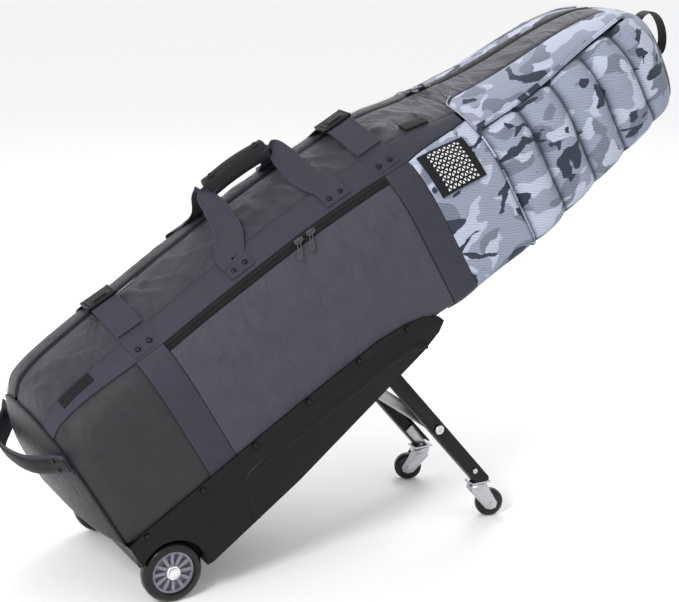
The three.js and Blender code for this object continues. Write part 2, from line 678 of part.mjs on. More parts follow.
// ---------------------------------------------------------------- legs and braces
// A round-ended channel section along x, open towards the middle of the case.
function channel(sign, length, width, face, depth) {
  const bar = (half, near, far) => join(
    box(0, length, ...spanOn(sign, near, far), -half, half),
    crossBar(half, ...spanOn(sign, near, far), 0, 0, 20),
    crossBar(half, ...spanOn(sign, near, far), length, 0, 20),
  );
  return cut(
    bar(width / 2, face - depth, face),
    bar(width / 2 - CHANNEL_WALL, face - depth - 1, face - CHANNEL_WALL),
  );
}

const alongLeg = (distance) => new THREE.Vector3(
  LEG_PIVOT.x + distance * Math.cos(LEG_ANGLE), 0, LEG_PIVOT.z - distance * Math.sin(LEG_ANGLE),
);
const BOLT = alongLeg(BRACE_BOLT);
const BOLT_R = 5;
const FOOT_RIVET = 314;
const FOOT_END = 620;

function makeLeg(side, sign) {
  const bar = cut(
    channel(sign, LEG_LENGTH + 30, LEG_WIDTH, LEG_FACE, LEG_DEPTH),
    crossBar(TUBE_R + GAP, -130, 130, 0, 0, 12),
    crossBar(BOLT_R + GAP, -130, 130, BRACE_BOLT, 0, 12),
    crossBar(2.5 + GAP, -130, 130, FOOT_RIVET, 0, 12),
  ).rotateY(LEG_ANGLE).translate(LEG_PIVOT.x, 0, LEG_PIVOT.z);
  const foot = PLATE_Z + PLATE_THICKNESS + GAP;
  const belowPlate = box(500, 800, -150, 150, -100, foot);
  const beyondPlate = box(FOOT_END, 800, -150, 150, -100, 200);
  node(upright, `leg_${side}`, cut(bar, belowPlate, beyondPlate), MATERIAL.blackMetal);
  const bolt = join(
    crossBar(BOLT_R, ...spanOn(sign, 73.5, 113), BOLT.x, BOLT.z, 12),
    crossBar(7.5, ...spanOn(sign, BRACE_FACE + GAP, LEG_FACE - CHANNEL_WALL - GAP), BOLT.x, BOLT.z),
    crossBar(9.5, ...spanOn(sign, LEG_FACE + GAP, 116.5), BOLT.x, BOLT.z, 6),
    crossBar(7, ...spanOn(sign, 73.5, BRACE_FACE - CHANNEL_WALL - GAP), BOLT.x, BOLT.z, 6),
  );
  node(upright, `leg_bolt_${side}`, bolt, MATERIAL.steel);
}

function makeBrace(side, sign) {
  const bar = cut(
    channel(sign, BRACE_LENGTH, BRACE_WIDTH, BRACE_FACE, BRACE_DEPTH),
    crossBar(BOLT_R + GAP, -130, 130, 0, 0, 12),
    crossBar(ROD_R + GAP, -130, 130, BRACE_LENGTH, 0, 12),
  );
  node(upright, `brace_${side}`,
    bar.rotateY(Math.PI + BRACE_ANGLE).translate(BOLT.x, 0, BOLT.z), MATERIAL.aluminium);
}

for (const [side, sign] of SIDES) {
  makeLeg(side, sign);
  makeBrace(side, sign);
}
node(upright, 'leg_cross_tube',
  crossBar(TUBE_R, -BRACKET[1] - 2, BRACKET[1] + 2, LEG_PIVOT.x, LEG_PIVOT.z), MATERIAL.blackMetal);
node(upright, 'brace_rod', crossBar(
  ROD_R, -BRACE_FACE - 5, BRACE_FACE + 5,
  BOLT.x - BRACE_LENGTH * Math.cos(BRACE_ANGLE), BOLT.z + BRACE_LENGTH * Math.sin(BRACE_ANGLE),
), MATERIAL.steel);

// ---------------------------------------------------------------- casters
// A vertical turned body from [radius, z] points.
const turnedUp = (points, sides = 16) => turned(points, sides).rotateX(Math.PI / 2);

function makeCaster(side, sign) {
  const y = -sign * CASTER_Y;
  const top = PLATE_Z + PLATE_THICKNESS;
  const plate = cut(
    box(CASTER_X - 17, CASTER_X + 19, ...spanOn(sign, 85, 112.5), PLATE_Z, top),
    turnedUp([[0, PLATE_Z - 1], [PIN_R + GAP, PLATE_Z - 1], [PIN_R + GAP, top + 1], [0, top + 1]])
      .translate(CASTER_X, y, 0),
  );
  const web = LEG_FACE - CHANNEL_WALL - GAP;
  const tongue = cut(
    box(LEG_LENGTH - 36, LEG_LENGTH + 30, ...spanOn(sign, web - 2.2, web), -9, 9)
      .rotateY(LEG_ANGLE).translate(LEG_PIVOT.x, 0, LEG_PIVOT.z),
    box(500, 800, -150, 150, -100, top - 1),
    box(FOOT_END, 800, -150, 150, -100, 200),
  );
  const rivetAt = alongLeg(FOOT_RIVET);
  const shank = crossBar(2.5, ...spanOn(sign, web - 1, LEG_FACE + 1), rivetAt.x, rivetAt.z, 12);
  const head = crossBar(5, ...spanOn(sign, LEG_FACE + GAP, LEG_FACE + 2.4), rivetAt.x, rivetAt.z, 12);
  node(upright, `caster_plate_${side}`, join(plate, tongue, shank, head), MATERIAL.zinc);

  // The fork hangs from its king pin; its trail points along x before the caster is turned.
  const swivel = turnedUp([
    [0, 50], [9, 50], [18, 56], [18, 60], [15, PLATE_Z - GAP], [PIN_R, PLATE_Z - GAP],
    [PIN_R, top + GAP], [6.5, top + GAP], [6.5, top + 3], [0, top + 3],
  ]);
  const cheekShape = [[-14, 58], [-15, 50], [12, 17.5], [CASTER_TRAIL, 14.5], [31, 18], [33, 27],
    [20, 50], [16, 58]];
  const cheeks = [-1, 1].map((k) => slab(cheekShape, ...spanOn(k, CHEEK[0], CHEEK[1])));
  const bridge = box(-14, 16, -CHEEK[1], CHEEK[1], 53.5, 58);
  const axle = crossBar(3.5, -CHEEK[1] - 3, CHEEK[1] + 3, CASTER_TRAIL, CASTER_R, 12);
  const wheel = turned([
    [3.5 + GAP, -11], [7, -11], [9, -CASTER_W / 2], [19, -CASTER_W / 2],
    [23.4, -7.4], [CASTER_R, -4], [CASTER_R, 4], [23.4, 7.4], [19, CASTER_W / 2],
    [9, CASTER_W / 2], [7, 11], [3.5 + GAP, 11], [3.5 + GAP, -11],
  ], 24).translate(CASTER_TRAIL, 0, CASTER_R);
  const turnedTo = (geometry) => geometry.rotateZ(CASTER_TURN[side]).translate(CASTER_X, y, 0);
  node(upright, `caster_fork_${side}`, turnedTo(join(swivel, bridge, ...cheeks, axle)),
    MATERIAL.zinc);
  node(upright, `caster_wheel_${side}`, turnedTo(wheel), MATERIAL.tyre);
}
for (const [side, sign] of SIDES) makeCaster(side, sign);

export default travelCase;
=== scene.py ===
"""Wheeled golf travel case: soft goods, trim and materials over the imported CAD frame."""
import json
import math

import bmesh
import bpy
import numpy as np
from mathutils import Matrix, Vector

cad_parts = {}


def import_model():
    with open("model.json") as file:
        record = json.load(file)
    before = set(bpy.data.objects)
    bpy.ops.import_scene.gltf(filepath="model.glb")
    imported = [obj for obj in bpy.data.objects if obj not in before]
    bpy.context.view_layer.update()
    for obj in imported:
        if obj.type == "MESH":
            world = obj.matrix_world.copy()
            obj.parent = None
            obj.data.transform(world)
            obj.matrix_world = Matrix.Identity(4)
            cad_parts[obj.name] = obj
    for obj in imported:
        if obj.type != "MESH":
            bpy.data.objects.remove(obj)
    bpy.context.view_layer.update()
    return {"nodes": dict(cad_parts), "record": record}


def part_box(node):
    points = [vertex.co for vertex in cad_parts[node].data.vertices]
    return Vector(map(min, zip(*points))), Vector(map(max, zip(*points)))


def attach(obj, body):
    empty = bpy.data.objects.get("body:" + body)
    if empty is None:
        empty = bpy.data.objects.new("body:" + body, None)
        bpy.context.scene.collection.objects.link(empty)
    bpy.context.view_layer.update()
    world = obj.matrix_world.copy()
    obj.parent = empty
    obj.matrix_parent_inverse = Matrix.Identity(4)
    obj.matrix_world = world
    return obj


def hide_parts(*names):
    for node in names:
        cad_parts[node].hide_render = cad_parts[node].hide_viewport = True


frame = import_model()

SIDES = (("right", -1), ("left", 1))  # name and sign of y

# ------------------------------------------------------------------ case frame
# s runs up the case, y across it and n out of its top, in mm, as in the CAD model.
LEAN = math.radians(28.5)
axle_low, axle_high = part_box("rear_axle")
ORIGIN_X = (axle_low[0] + axle_high[0]) / 2


def world(p):
    """Case frame in mm to the row frame in metres."""
    p = np.asarray(p, float)
    s, y, n = p[..., 0], p[..., 1], p[..., 2]
    x = s * math.cos(LEAN) - n * math.sin(LEAN)
    z = s * math.sin(LEAN) + n * math.cos(LEAN)
    return np.stack([x / 1000 + ORIGIN_X, y / 1000, z / 1000], -1)


RIDGE = [(-12, 356), (12, 380), (60, 393), (200, 406), (320, 416), (520, 424), (700, 416),
         (810, 392), (940, 369), (1090, 357), (1160, 345), (1215, 320), (1250, 290)]
FLOOR = [(-12, 124), (620, 124), (680, 117), (843, 116), (916, 126), (987, 136), (1069, 148),
         (1150, 156), (1200, 157), (1250, 166)]
HALF_WIDTH = [(-12, 150), (20, 165), (80, 166), (700, 166), (860, 164), (1000, 160), (1120, 153),
              (1165, 143), (1195, 123), (1222, 92), (1250, 50)]
CORNER = [(-12, 12), (640, 12), (760, 26), (1250, 26)]
SHOULDER = 0.45
ROUNDNESS = 2 / 2.7


def through(keys, s):
    """A smooth curve through (s, value) keys that never overshoots them."""
    x, v = np.array(keys, float).T
    d = np.diff(v) / np.diff(x)
    m = np.empty(len(x))
    m[0], m[-1] = d[0], d[-1]
    product = d[:-1] * d[1:]
    total = np.where(product > 0, d[:-1] + d[1:], 1)
    m[1:-1] = np.where(product > 0, 2 * product / total, 0)
    s = np.clip(s, x[0], x[-1])
    i = np.clip(np.searchsorted(x, s) - 1, 0, len(x) - 2)
    h = x[i + 1] - x[i]
    t = (s - x[i]) / h
    rise = (3 - 2 * t) * t * t
    bend = h * t * (1 - t) * ((1 - t) * m[i] - t * m[i + 1])
    return v[i] * (1 - rise) + v[i + 1] * rise + bend


def raw(s, a):
    """A point on the bag's surface. `a` is 90 on the ridge, 0 at the right shoulder, 180 at
    the left one and -90 in the middle of the floor."""
    s, a = np.broadcast_arrays(np.asarray(s, float), np.asarray(a, float))
    ridge, floor = through(RIDGE, s), through(FLOOR, s)
    wide, corner = through(HALF_WIDTH, s), through(CORNER, s)
    shoulder = floor + (ridge - floor) * SHOULDER
    left = (a > 90) | (a < -90)
    turn = np.where(left, np.sign(a) * 180 - a, a)
    up = np.radians(np.clip(turn, 0, 90))
    y = wide * np.abs(np.cos(up)) ** ROUNDNESS
    n = shoulder + (ridge - shoulder) * np.abs(np.sin(up)) ** ROUNDNESS
    side = (turn < 0) & (turn >= -45)
    n = np.where(side, shoulder + (shoulder - floor - corner) * turn / 45, n)
    y = np.where(side, wide, y)
    bend = (turn < -45) & (turn >= -65)
    arc = np.radians(-(turn + 45) * 4.5)
    y = np.where(bend, wide - corner * (1 - np.cos(arc)), y)
    n = np.where(bend, floor + corner * (1 - np.sin(arc)), n)
    under = turn < -65
    y = np.where(under, (wide - corner) * (turn + 90) / 25, y)
    n = np.where(under, floor, n)
    return np.stack([s, np.where(left, y, -y), n], -1)


def normal(s, a):
    """The bag's outward direction at a point."""
    along = raw(s + 3, a) - raw(s - 3, a)
    around = raw(s, a + 1.5) - raw(s, a - 1.5)
    out = np.cross(along, around)
    return out / np.linalg.norm(out, axis=-1, keepdims=True)


def on_bag(s, a, lift=0.0):
    """A point on the bag, `lift` mm out along its normal."""
    s, a = np.broadcast_arrays(np.asarray(s, float), np.asarray(a, float))
    return raw(s, a) + normal(s, a) * np.asarray(lift, float)[..., None]


def run_along(line):
    """The distance from a line's start to each of its points."""
    return np.concatenate([[0], np.cumsum(np.linalg.norm(np.diff(line, axis=0), axis=1))])


def sample(line, run, want):
    """The line's points at the wanted distances."""
    return np.stack([np.interp(want, run, line[:, k]) for k in range(3)], 1)


def wave_noise(s, t, size, seed):
    """Smooth seeded noise from -1 to 1 with features about `size` mm across."""
    r = np.random.default_rng(seed)
    total = np.zeros(np.broadcast(s, t).shape)
    for k in range(2):
        for _ in range(7):
            turn, phase = r.uniform(0, 2 * math.pi, 2)
            length = size * r.uniform(0.75, 1.6) / 1.9 ** k
            total = total + 0.62 ** k * np.sin(
                2 * math.pi * (s * math.cos(turn) + t * math.sin(turn)) / length + phase)
    return total / 5.0


# ------------------------------------------------------------------ mesh helpers
def new_object(name, verts, faces, uvs=None, material=None, smooth=True):
    mesh = bpy.data.meshes.new(name)
    mesh.from_pydata([tuple(v) for v in verts], [], faces)
    if uvs is not None:
        layer = mesh.uv_layers.new(name="UVMap")
        index = np.empty(len(mesh.loops), np.int32)
        mesh.loops.foreach_get("vertex_index", index)
        layer.data.foreach_set("uv", np.asarray(uvs, np.float32)[index].ravel())
    mesh.polygons.foreach_set("use_smooth", [smooth] * len(mesh.polygons))
    mesh.update()
    piece = bpy.data.objects.new(name, mesh)
    bpy.context.scene.collection.objects.link(piece)
    if material is not None:
        mesh.materials.append(material)
    return piece


def grid_faces(rows, columns, start=0, wrap=False):
    faces = []
    for i in range(rows - 1):
        for j in range(columns if wrap else columns - 1):
            a = start + i * columns + j
            b = start + i * columns + (j + 1) % columns
            faces.append((a, a + columns, b + columns, b))
    return faces


def merge(parts):
    """Joins (verts, faces) pairs into one list."""
    verts, faces = [], []
    for v, f in parts:
        faces += [tuple(i + len(verts) for i in face) for face in f]
        verts += [tuple(p) for p in v]
    return verts, faces


def place(piece, body, slot, *nodes):
    """Attaches a piece to the body it rides on and hides the CAD nodes it stands for; `slot` is not
    used.
    """
    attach(piece, body)
    if nodes:
        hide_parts(*nodes)
    return piece


# ------------------------------------------------------------------ materials
class Look:
    """A procedural material on the Principled shader."""

    def __init__(self, name, colour, roughness=0.5, metallic=0.0, **fixed):
        self.name = name
        self.material = bpy.data.materials.new(name)
        self.material.use_nodes = True
        self.tree = self.material.node_tree
        self.shader = self.tree.nodes["Principled BSDF"]
        self.shader.inputs["Base Color"].default_value = (*colour, 1)
        self.shader.inputs["Roughness"].default_value = roughness
        self.shader.inputs["Metallic"].default_value = metallic
        self.shader.inputs["Specular IOR Level"].default_value = 0.5 if metallic > 0.5 else 0.18
        for key, value in fixed.items():
            self.shader.inputs[key.replace("_", " ")].default_value = value
        self.colour = colour
        self.heights = []

    def add(self, kind, values=None, **settings):
        node = self.tree.nodes.new("ShaderNode" + kind)
        for key, value in settings.items():
            setattr(node, key, value)
        for key, value in (values or {}).items():
            if isinstance(value, bpy.types.NodeSocket):
                self.tree.links.new(value, node.inputs[key])
            else:
                node.inputs[key].default_value = value
        return node

    def maths(self, operation, a, b=0.0, c=0.0):
        return self.add("Math", {0: a, 1: b, 2: c}, operation=operation).outputs[0]

    def coordinates(self, kind="UV"):
        return self.add("TexCoord").outputs[kind]

    def noise(self, where, scale, detail=2.0, roughness=0.5, distortion=0.0):
        return self.add("TexNoise", {
            "Vector": where, "Scale": scale, "Detail": detail, "Roughness": roughness,
            "Distortion": distortion}).outputs["Fac"]

    def ramp(self, value, stops):
        node = self.add("ValToRGB", {"Fac": value})
        elements = node.color_ramp.elements
        while len(elements) < len(stops):
            elements.new(0.5)
        for element, (at, colour) in zip(elements, stops):
            element.position = at
            element.color = (*colour, 1)
        return node.outputs["Color"]

    def tint(self, value, low=0.85, high=1.15):
        """Base colour varied in brightness by a 0 to 1 value."""
        stops = [(0.25, [c * low for c in self.colour]), (0.75, [c * high for c in self.colour])]
        self.paint(self.ramp(value, stops))

    def paint(self, colour):
        self.tree.links.new(colour, self.shader.inputs["Base Color"])

    def mix(self, factor, a, b):
        return self.add("Mix", {0: factor, 6: a, 7: b}, data_type="RGBA").outputs[2]

    def rough(self, value, low, high):
        out = self.add("MapRange", {"Value": value, 3: low, 4: high}).outputs[0]
        self.tree.links.new(out, self.shader.inputs["Roughness"])

    def bump(self, height, distance, strength=0.6):
        """Adds a bump of a height from 0 to 1 over `distance` metres."""
        node = self.add("Bump", {"Height": height, "Distance": distance, "Strength": strength})
        if self.heights:
            self.tree.links.new(self.heights[-1], node.inputs["Normal"])
        self.heights.append(node.outputs["Normal"])
        self.tree.links.new(node.outputs["Normal"], self.shader.inputs["Normal"])

    def threads(self, where, pitch):
        """A plain weave: warp and weft threads `pitch` metres apart."""
        split = self.add("SeparateXYZ", {"Vector": where})
        k = 2 * math.pi / pitch
        u = self.maths("SINE", self.maths("MULTIPLY", split.outputs[0], k))
        v = self.maths("SINE", self.maths("MULTIPLY", split.outputs[1], k))
        return self.maths("MULTIPLY_ADD", self.maths("MAXIMUM", u, v), 0.5, 0.5)


def linear(r, g, b):
    """An 8-bit display colour in linear light."""
    return tuple(((c / 255 + 0.055) / 1.055) ** 2.4 if c > 10 else c / 3294 for c in (r, g, b))


def fabric(name, colour, roughness, pitch, weave=0.0003, blotch=28, spread=0.1, crumple=0):
    """Woven cloth with uneven colour, soft waves and, if `crumple` metres high, sharp ridges."""
    look = Look(name, colour, roughness, Sheen_Weight=0.05, Sheen_Roughness=0.45)
    uv = look.coordinates()
    look.tint(look.noise(uv, blotch, 3, 0.55), 1 - spread, 1 + spread)
    look.rough(look.noise(uv, 60, 3), roughness - 0.07, roughness + 0.07)
    look.bump(look.noise(uv, 22, 4, 0.5, 0.4), 0.0022, 0.35)
    if crumple:
        stretched = look.add("Mapping", {"Vector": uv, "Rotation": (0, 0, 0.7),
                                         "Scale": (1.0, 0.45, 1.0)}).outputs[0]
        ridge = look.maths("ABSOLUTE", look.maths(
            "SUBTRACT", look.noise(stretched, 26, 2, 0.5, 0.8), 0.5))
        look.bump(look.ramp(ridge, [(0.0, (1, 1, 1)), (0.16, (0, 0, 0))]), crumple, 0.5)
    look.bump(look.threads(uv, pitch), weave, 0.5)
    return look


def plain(name, colour, roughness, metallic=0.0, grain=900, depth=0.00008, spread=0.06, **fixed):
    """A moulded or metal finish with fine grain and slight wear."""
    look = Look(name, colour, roughness, metallic, **fixed)
    where = look.coordinates("Object")
    look.tint(look.noise(where, 30, 4, 0.6), 1 - spread, 1 + spread)
    look.rough(look.noise(where, 75, 4), max(0.04, roughness - 0.08), roughness + 0.1)
    look.bump(look.noise(where, grain, 2), depth, 0.5)
    return look


NYLON = fabric("nylon", linear(66, 64, 74), 0.48, 0.00065, crumple=0.0022)
COVER = fabric("cover_nylon", linear(54, 53, 60), 0.46, 0.00065, spread=0.18, crumple=0.004)
VINYL = fabric("coated_vinyl", linear(46, 46, 49), 0.4, 0.0009, 0.0002, spread=0.1, crumple=0.0012)
STRAP = fabric("webbing", linear(52, 52, 63), 0.55, 0.0016, 0.0004, 40, 0.06)
BLACK_STRAP = fabric("black_webbing", linear(22, 22, 24), 0.6, 0.0016, 0.0004, 40, 0.08)
THREAD = plain("thread", linear(78, 78, 90), 0.7)
PIPING_LOOK = plain("piping", linear(26, 26, 28), 0.5)
PALE_CORD = plain("pale_piping", linear(150, 152, 162), 0.7)


def make_camo():
    """Four greys in warped blotches on ripstop, with painted shade along the quilted pads' sewn
    valleys, where the point attribute that marks them is high.
    """
    look = Look("camo_print", (0.5, 0.53, 0.6), 0.62, Sheen_Weight=0.05, Sheen_Roughness=0.5)
    uv = look.coordinates()
    turned = look.add("Mapping", {
        "Vector": uv, "Rotation": (0, 0, 0.5), "Scale": (1.0, 1.35, 1.0)}).outputs[0]
    warp = look.add("TexNoise", {"Vector": turned, "Scale": 34.0, "Detail": 3.0,
                                 "Roughness": 0.6}).outputs["Color"]
    bent = look.add("VectorMath", {0: warp, 1: (0.02, 0.02, 0.0), 2: turned},
                    operation="MULTIPLY_ADD").outputs[0]
    light, mid = linear(140, 147, 163), linear(112, 119, 133)
    colour = look.ramp(look.noise(bent, 15, 1.2, 0.4, 0.3),
                       [(0, mid), (0.44, mid), (0.455, light), (1, light)])
    for offset, shape, low, high, blotch in (
            ((3.1, 1.7, 0), (18, 1.0, 0.4, 0.5), 0.545, 0.56, linear(176, 182, 198)),
            ((7.3, 5.2, 0), (16, 1.4, 0.45, 0.9), 0.588, 0.598, linear(50, 56, 69))):
        where = look.add("VectorMath", {0: bent, 1: offset}, operation="ADD").outputs[0]
        mask = look.ramp(look.noise(where, *shape),
                         [(0.0, (0, 0, 0)), (low, (0, 0, 0)), (high, (1, 1, 1))])
        colour = look.mix(mask, colour, (*blotch, 1))
    split = look.add("SeparateXYZ", {"Vector": uv})
    diagonal = look.maths("MULTIPLY_ADD", split.outputs[0], 0.6, split.outputs[1])
    sway = look.maths("MULTIPLY", look.noise(uv, 45, 2), 0.012)
    phase = look.maths("MULTIPLY", look.maths("ADD", diagonal, sway), 2 * math.pi / 0.0052)
    ripple = look.maths("MULTIPLY_ADD", look.maths("SINE", phase), 0.5, 0.5)
    # Painted shade: the print is pulled towards a dark grey where the pad valleys' point attribute
    # is high.
    depth = look.add("Attribute", attribute_name="valley_shade").outputs["Fac"]
    colour = look.mix(look.maths("MULTIPLY", depth, 0.9), colour, (*linear(36, 41, 53), 1))
    shade = look.ramp(ripple, [(0.0, (0.8, 0.81, 0.84)), (1.0, (1.06, 1.06, 1.05))])
    look.paint(look.add("Mix", {0: 1.0, 6: colour, 7: shade}, data_type="RGBA",
                        blend_type="MULTIPLY").outputs[2])
    look.bump(look.noise(uv, 30, 3), 0.002, 0.3)
    look.bump(ripple, 0.0004, 0.35)
    look.bump(look.threads(uv, 0.0009), 0.0002, 0.4)
    return look


CAMO = make_camo()


def make_vent():
    """Black spacer mesh printed with rows of small pale triangles."""
    look = Look("vent_mesh", linear(22, 22, 23), 0.6)
    uv = look.coordinates()
    split = look.add("SeparateXYZ", {"Vector": uv})
    u = look.maths("DIVIDE", split.outputs[0], 0.0094)
    v = look.maths("DIVIDE", split.outputs[1], 0.0084)
    y = look.maths("FRACT", v)
    shown = 0.0
    for shift, rise, reach in ((0.5, look.maths("SUBTRACT", 1.0, y), 3.5), (0.0, y, 3.0)):
        x = look.maths("FRACT", look.maths("ADD", u, shift))
        x = look.maths("ABSOLUTE", look.maths("SUBTRACT", x, 0.5))
        edge = look.maths("MULTIPLY_ADD", rise, 0.5, -0.17)
        inside = look.maths("LESS_THAN", x, edge)
        inside = look.maths("MULTIPLY", inside, look.maths("LESS_THAN", rise, 0.84))
        near = look.maths("LESS_THAN", look.maths("ABSOLUTE", u), reach)
        shown = look.maths("ADD", shown, look.maths("MULTIPLY", inside, near))
    shown = look.maths("MULTIPLY", shown, look.maths("LESS_THAN", look.maths("ABSOLUTE", v), 4.0))
    look.paint(look.mix(shown, (*linear(24, 24, 25), 1), (*linear(226, 227, 228), 1)))
    look.bump(look.threads(uv, 0.0024), 0.0006, 0.8)
    return look


VENT = make_vent()
SHELL = plain("shell_plastic", linear(17, 17, 18), 0.4, grain=1400, depth=0.00012)
BLACK = plain("black_steel", linear(24, 24, 25), 0.34, 0.0)
ALUMINIUM = plain("aluminium", (0.36, 0.365, 0.37), 0.34, 1.0, 500, 0.00003)
ZINC = plain("zinc", (0.5, 0.51, 0.53), 0.3, 1.0, 400, 0.00004)
STEEL = plain("steel", (0.6, 0.61, 0.63), 0.3, 1.0, 400, 0.00003)
CHROME = plain("polished", (0.86, 0.87, 0.9), 0.1, 1.0, 300, 0.00001, 0.02)
TYRE = plain("tyre", linear(16, 16, 17), 0.34, 0.0, 700, 0.00006, Coat_Weight=0.35,
             Coat_Roughness=0.2)
RIM = plain("rim", linear(132, 129, 142), 0.38, 0.35, 900, 0.00003)
GRIP = plain("grip_rubber", linear(32, 31, 34), 0.55, 0.0, 700, 0.0002)
BUCKLE = plain("buckle", linear(20, 20, 22), 0.34, 0.0, 1200, 0.00006)
DARK_METAL = plain("dark_nickel", (0.11, 0.11, 0.115), 0.24, 1.0, 500, 0.00003)
LABEL = fabric("label", linear(17, 17, 19), 0.6, 0.0005, 0.0001, 60, 0.05)


def make_zipper():
    """Black tape with the coil's turns across it."""
    look = Look("zipper_tape", linear(17, 17, 16), 0.5)
    uv = look.coordinates()
    split = look.add("SeparateXYZ", {"Vector": uv})
    coil = look.maths("SINE", look.maths("MULTIPLY", split.outputs[0], 2 * math.pi / 0.0016))
    look.tint(look.noise(uv, 60, 2), 0.8, 1.25)
    look.bump(look.maths("MULTIPLY_ADD", coil, 0.5, 0.5), 0.0005, 0.6)
    return look


ZIPPER = make_zipper()

# ------------------------------------------------------------------ seams
GAP = 0.28  # degrees between a side panel and the band above it
FOOT, HEAD = -12, 1196  # where the side seams start and end
BAND_END, COVER_END = 822, 1195
FLOOR_SEAM = -64  # angle of the lowest side seam
CROSS_SEAMS = (154.9, 205.9, 649.9, 697.9)  # where the two trims across a side begin and end
# Each panel ends 0.3 mm short of a seam, and the next one starts as far past it.
END_1, START_2, END_2, START_3, END_3, START_4, END_4, START_5 = (
    seam + gap for seam in CROSS_SEAMS for gap in (-0.3, 0.3))
SIDE_ZIP = (34.5, 41.2)  # angles of its tape's edges
MAIN_ZIP = 97  # its angle, just left of the ridge
SHELL_LIP = 168.0  # below this height the shell lies against the fabric


def band_low(s):
    """The lower edge of the shoulder band, as an angle."""
    s = np.asarray(s, float)
    low = np.where(s < 206, 48 - (s + 12) * 6.7 / 218, 41.3)
    return low + np.maximum(0, (s - 698) / (BAND_END - 698)) * 10


def pad_top(s):
    return through([(817, 40), (907, 43), (994, 47), (1065, 51.5), (1129, 56), (1185, 62),
                    (1245, 74)], s)


def strip_low(s):
    return through([(827, 69), (850, 77), (940, 80), (1195, 83)], s)


# ------------------------------------------------------------------ sewn panels
SOFT = []


def spaced(length, step):
    """Positions along a side as fractions, closer together next to its two seams."""
    inner = np.linspace(4.0, length - 4.0, max(3, int(round(length / step))))
    return np.concatenate([[0, 1.3], inner, [length - 1.3, length]]) / length


def sewn(name, s, a, material, lift=0.0, crown=0.0, dip=1.6, puff=0.3, grow=0.3, cap=4.0,
         rough=0.4, creased=0.0):
    """Records a panel given by its grids of s and a, for the cloth simulation.

    Heights are in mm: `crown` domes it, `rough` and `creased` add waves and folds, and `dip`
    sinks its seams. `puff` and `grow` are its shares of pressure and slack, and `cap` limits
    how far a point moves.
    """
    rows, columns = s.shape
    points = on_bag(s, a)
    du = np.linalg.norm(np.diff(points, axis=0), axis=-1)
    dv = np.linalg.norm(np.diff(points, axis=1), axis=-1)
    u = np.vstack([np.zeros((1, columns)), np.cumsum(du, 0)])
    v = np.hstack([np.zeros((rows, 1)), np.cumsum(dv, 1)])
    near = np.minimum(np.minimum(u, u[-1] - u), np.minimum(v, v[:, -1:] - v))
    seed = sum(map(ord, name)) % 97
    calm = np.where(s < 660, np.clip((points[..., 2] - SHELL_LIP) / 45, 0, 1), 1.0)
    dome = (1 - (2 * u / u[-1] - 1) ** 4) * (1 - (2 * v / v[:, -1:] - 1) ** 4)
    height = lift + crown * calm * dome
    height = height + rough * calm * wave_noise(s, v, 60, seed) * np.clip(near / 14, 0, 1)
    folds = 1 - np.abs(wave_noise(s * 0.8 + v * 0.5, v * 0.45, 75, seed + 3)) * 2.2
    height = height + creased * calm * np.clip(folds, 0, 1) ** 2 * np.clip(near / 34, 0, 1) ** 1.5
    height = height - dip * np.exp(-(near / 2.2) ** 2)
    SOFT.append(dict(
        name=name, s=s, a=a, pinned=(near < 4.2) | (calm == 0), puff=puff, grow=grow, cap=cap,
        material=material, uv=np.stack([s, v + a.mean() * 7.3], -1) / 1000,
        rest=world(on_bag(s, a, height))))


def rect(s0, s1, low, high, step=8.0):
    """Grids of s and a between two stations and two seam angles, which may follow s."""
    rows = s0 + spaced(s1 - s0, step) * (s1 - s0)
    at = lambda x: x(rows) if callable(x) else np.full(len(rows), float(x))
    lo, hi = at(low), at(high)
    middle = len(rows) // 2
    arc = on_bag(np.full(60, rows[middle]), np.linspace(lo[middle], hi[middle], 60))
    length = run_along(arc)[-1]
    dense = np.linspace(lo, hi, 240, axis=1)
    line = on_bag(np.repeat(rows[:, None], 240, 1), dense)
    run = np.cumsum(np.linalg.norm(np.diff(line, axis=1), axis=-1), 1)
    run = np.hstack([np.zeros((len(rows), 1)), run])
    want = spaced(length, step)
    a = np.stack([np.interp(want * run[i, -1], run[i], dense[i]) for i in range(len(rows))])
    return np.repeat(rows[:, None], a.shape[1], 1), a


def mirrored(a):
    return 180 - a[:, ::-1]


for side in ("right", "left"):
    def both(name, s0, s1, low, high, material, **how):
        s, a = rect(s0, s1, low, high, how.pop("step", 8.0))
        if side == "left":
            a = mirrored(a)
        sewn(f"{name}_{side}", s, a, material, **how)

    below = lambda s: band_low(s) - GAP
    both("lower_side_panel", FOOT, END_1, FLOOR_SEAM, below, VINYL, crown=2, puff=0.5,
         grow=0.25, cap=5, creased=1.6)
    both("rear_trim", START_2, END_2, FLOOR_SEAM, below, STRAP, lift=0.6, dip=0.9, puff=0.1,
         grow=0.1, cap=2)
    both("side_panel", START_3, END_3, FLOOR_SEAM, 34.3, NYLON, crown=2, puff=0.55, grow=0.45, cap=6,
         rough=1.4, creased=4.0)
    both("front_trim", START_4, END_4, FLOOR_SEAM, below, STRAP, lift=0.6, dip=0.9, puff=0.1,
         grow=0.1, cap=2)
    both("head_side_rear", START_5, 827.2, FLOOR_SEAM,
         lambda s: band_low(np.minimum(s, BAND_END)) - GAP, CAMO, crown=2, puff=0.4,
         grow=0.35, cap=4, rough=0.7)
    both("head_side_upper", 828.4, HEAD, lambda s: pad_top(s) + 0.6,
         lambda s: strip_low(s) - GAP, CAMO, crown=1.5, puff=0.4, grow=0.3, cap=3, rough=0.7)
    both("shoulder_band", FOOT, BAND_END, band_low, 61, STRAP, lift=0.9, dip=0.7, puff=0.1,
         grow=0.15, cap=2.5, step=10)

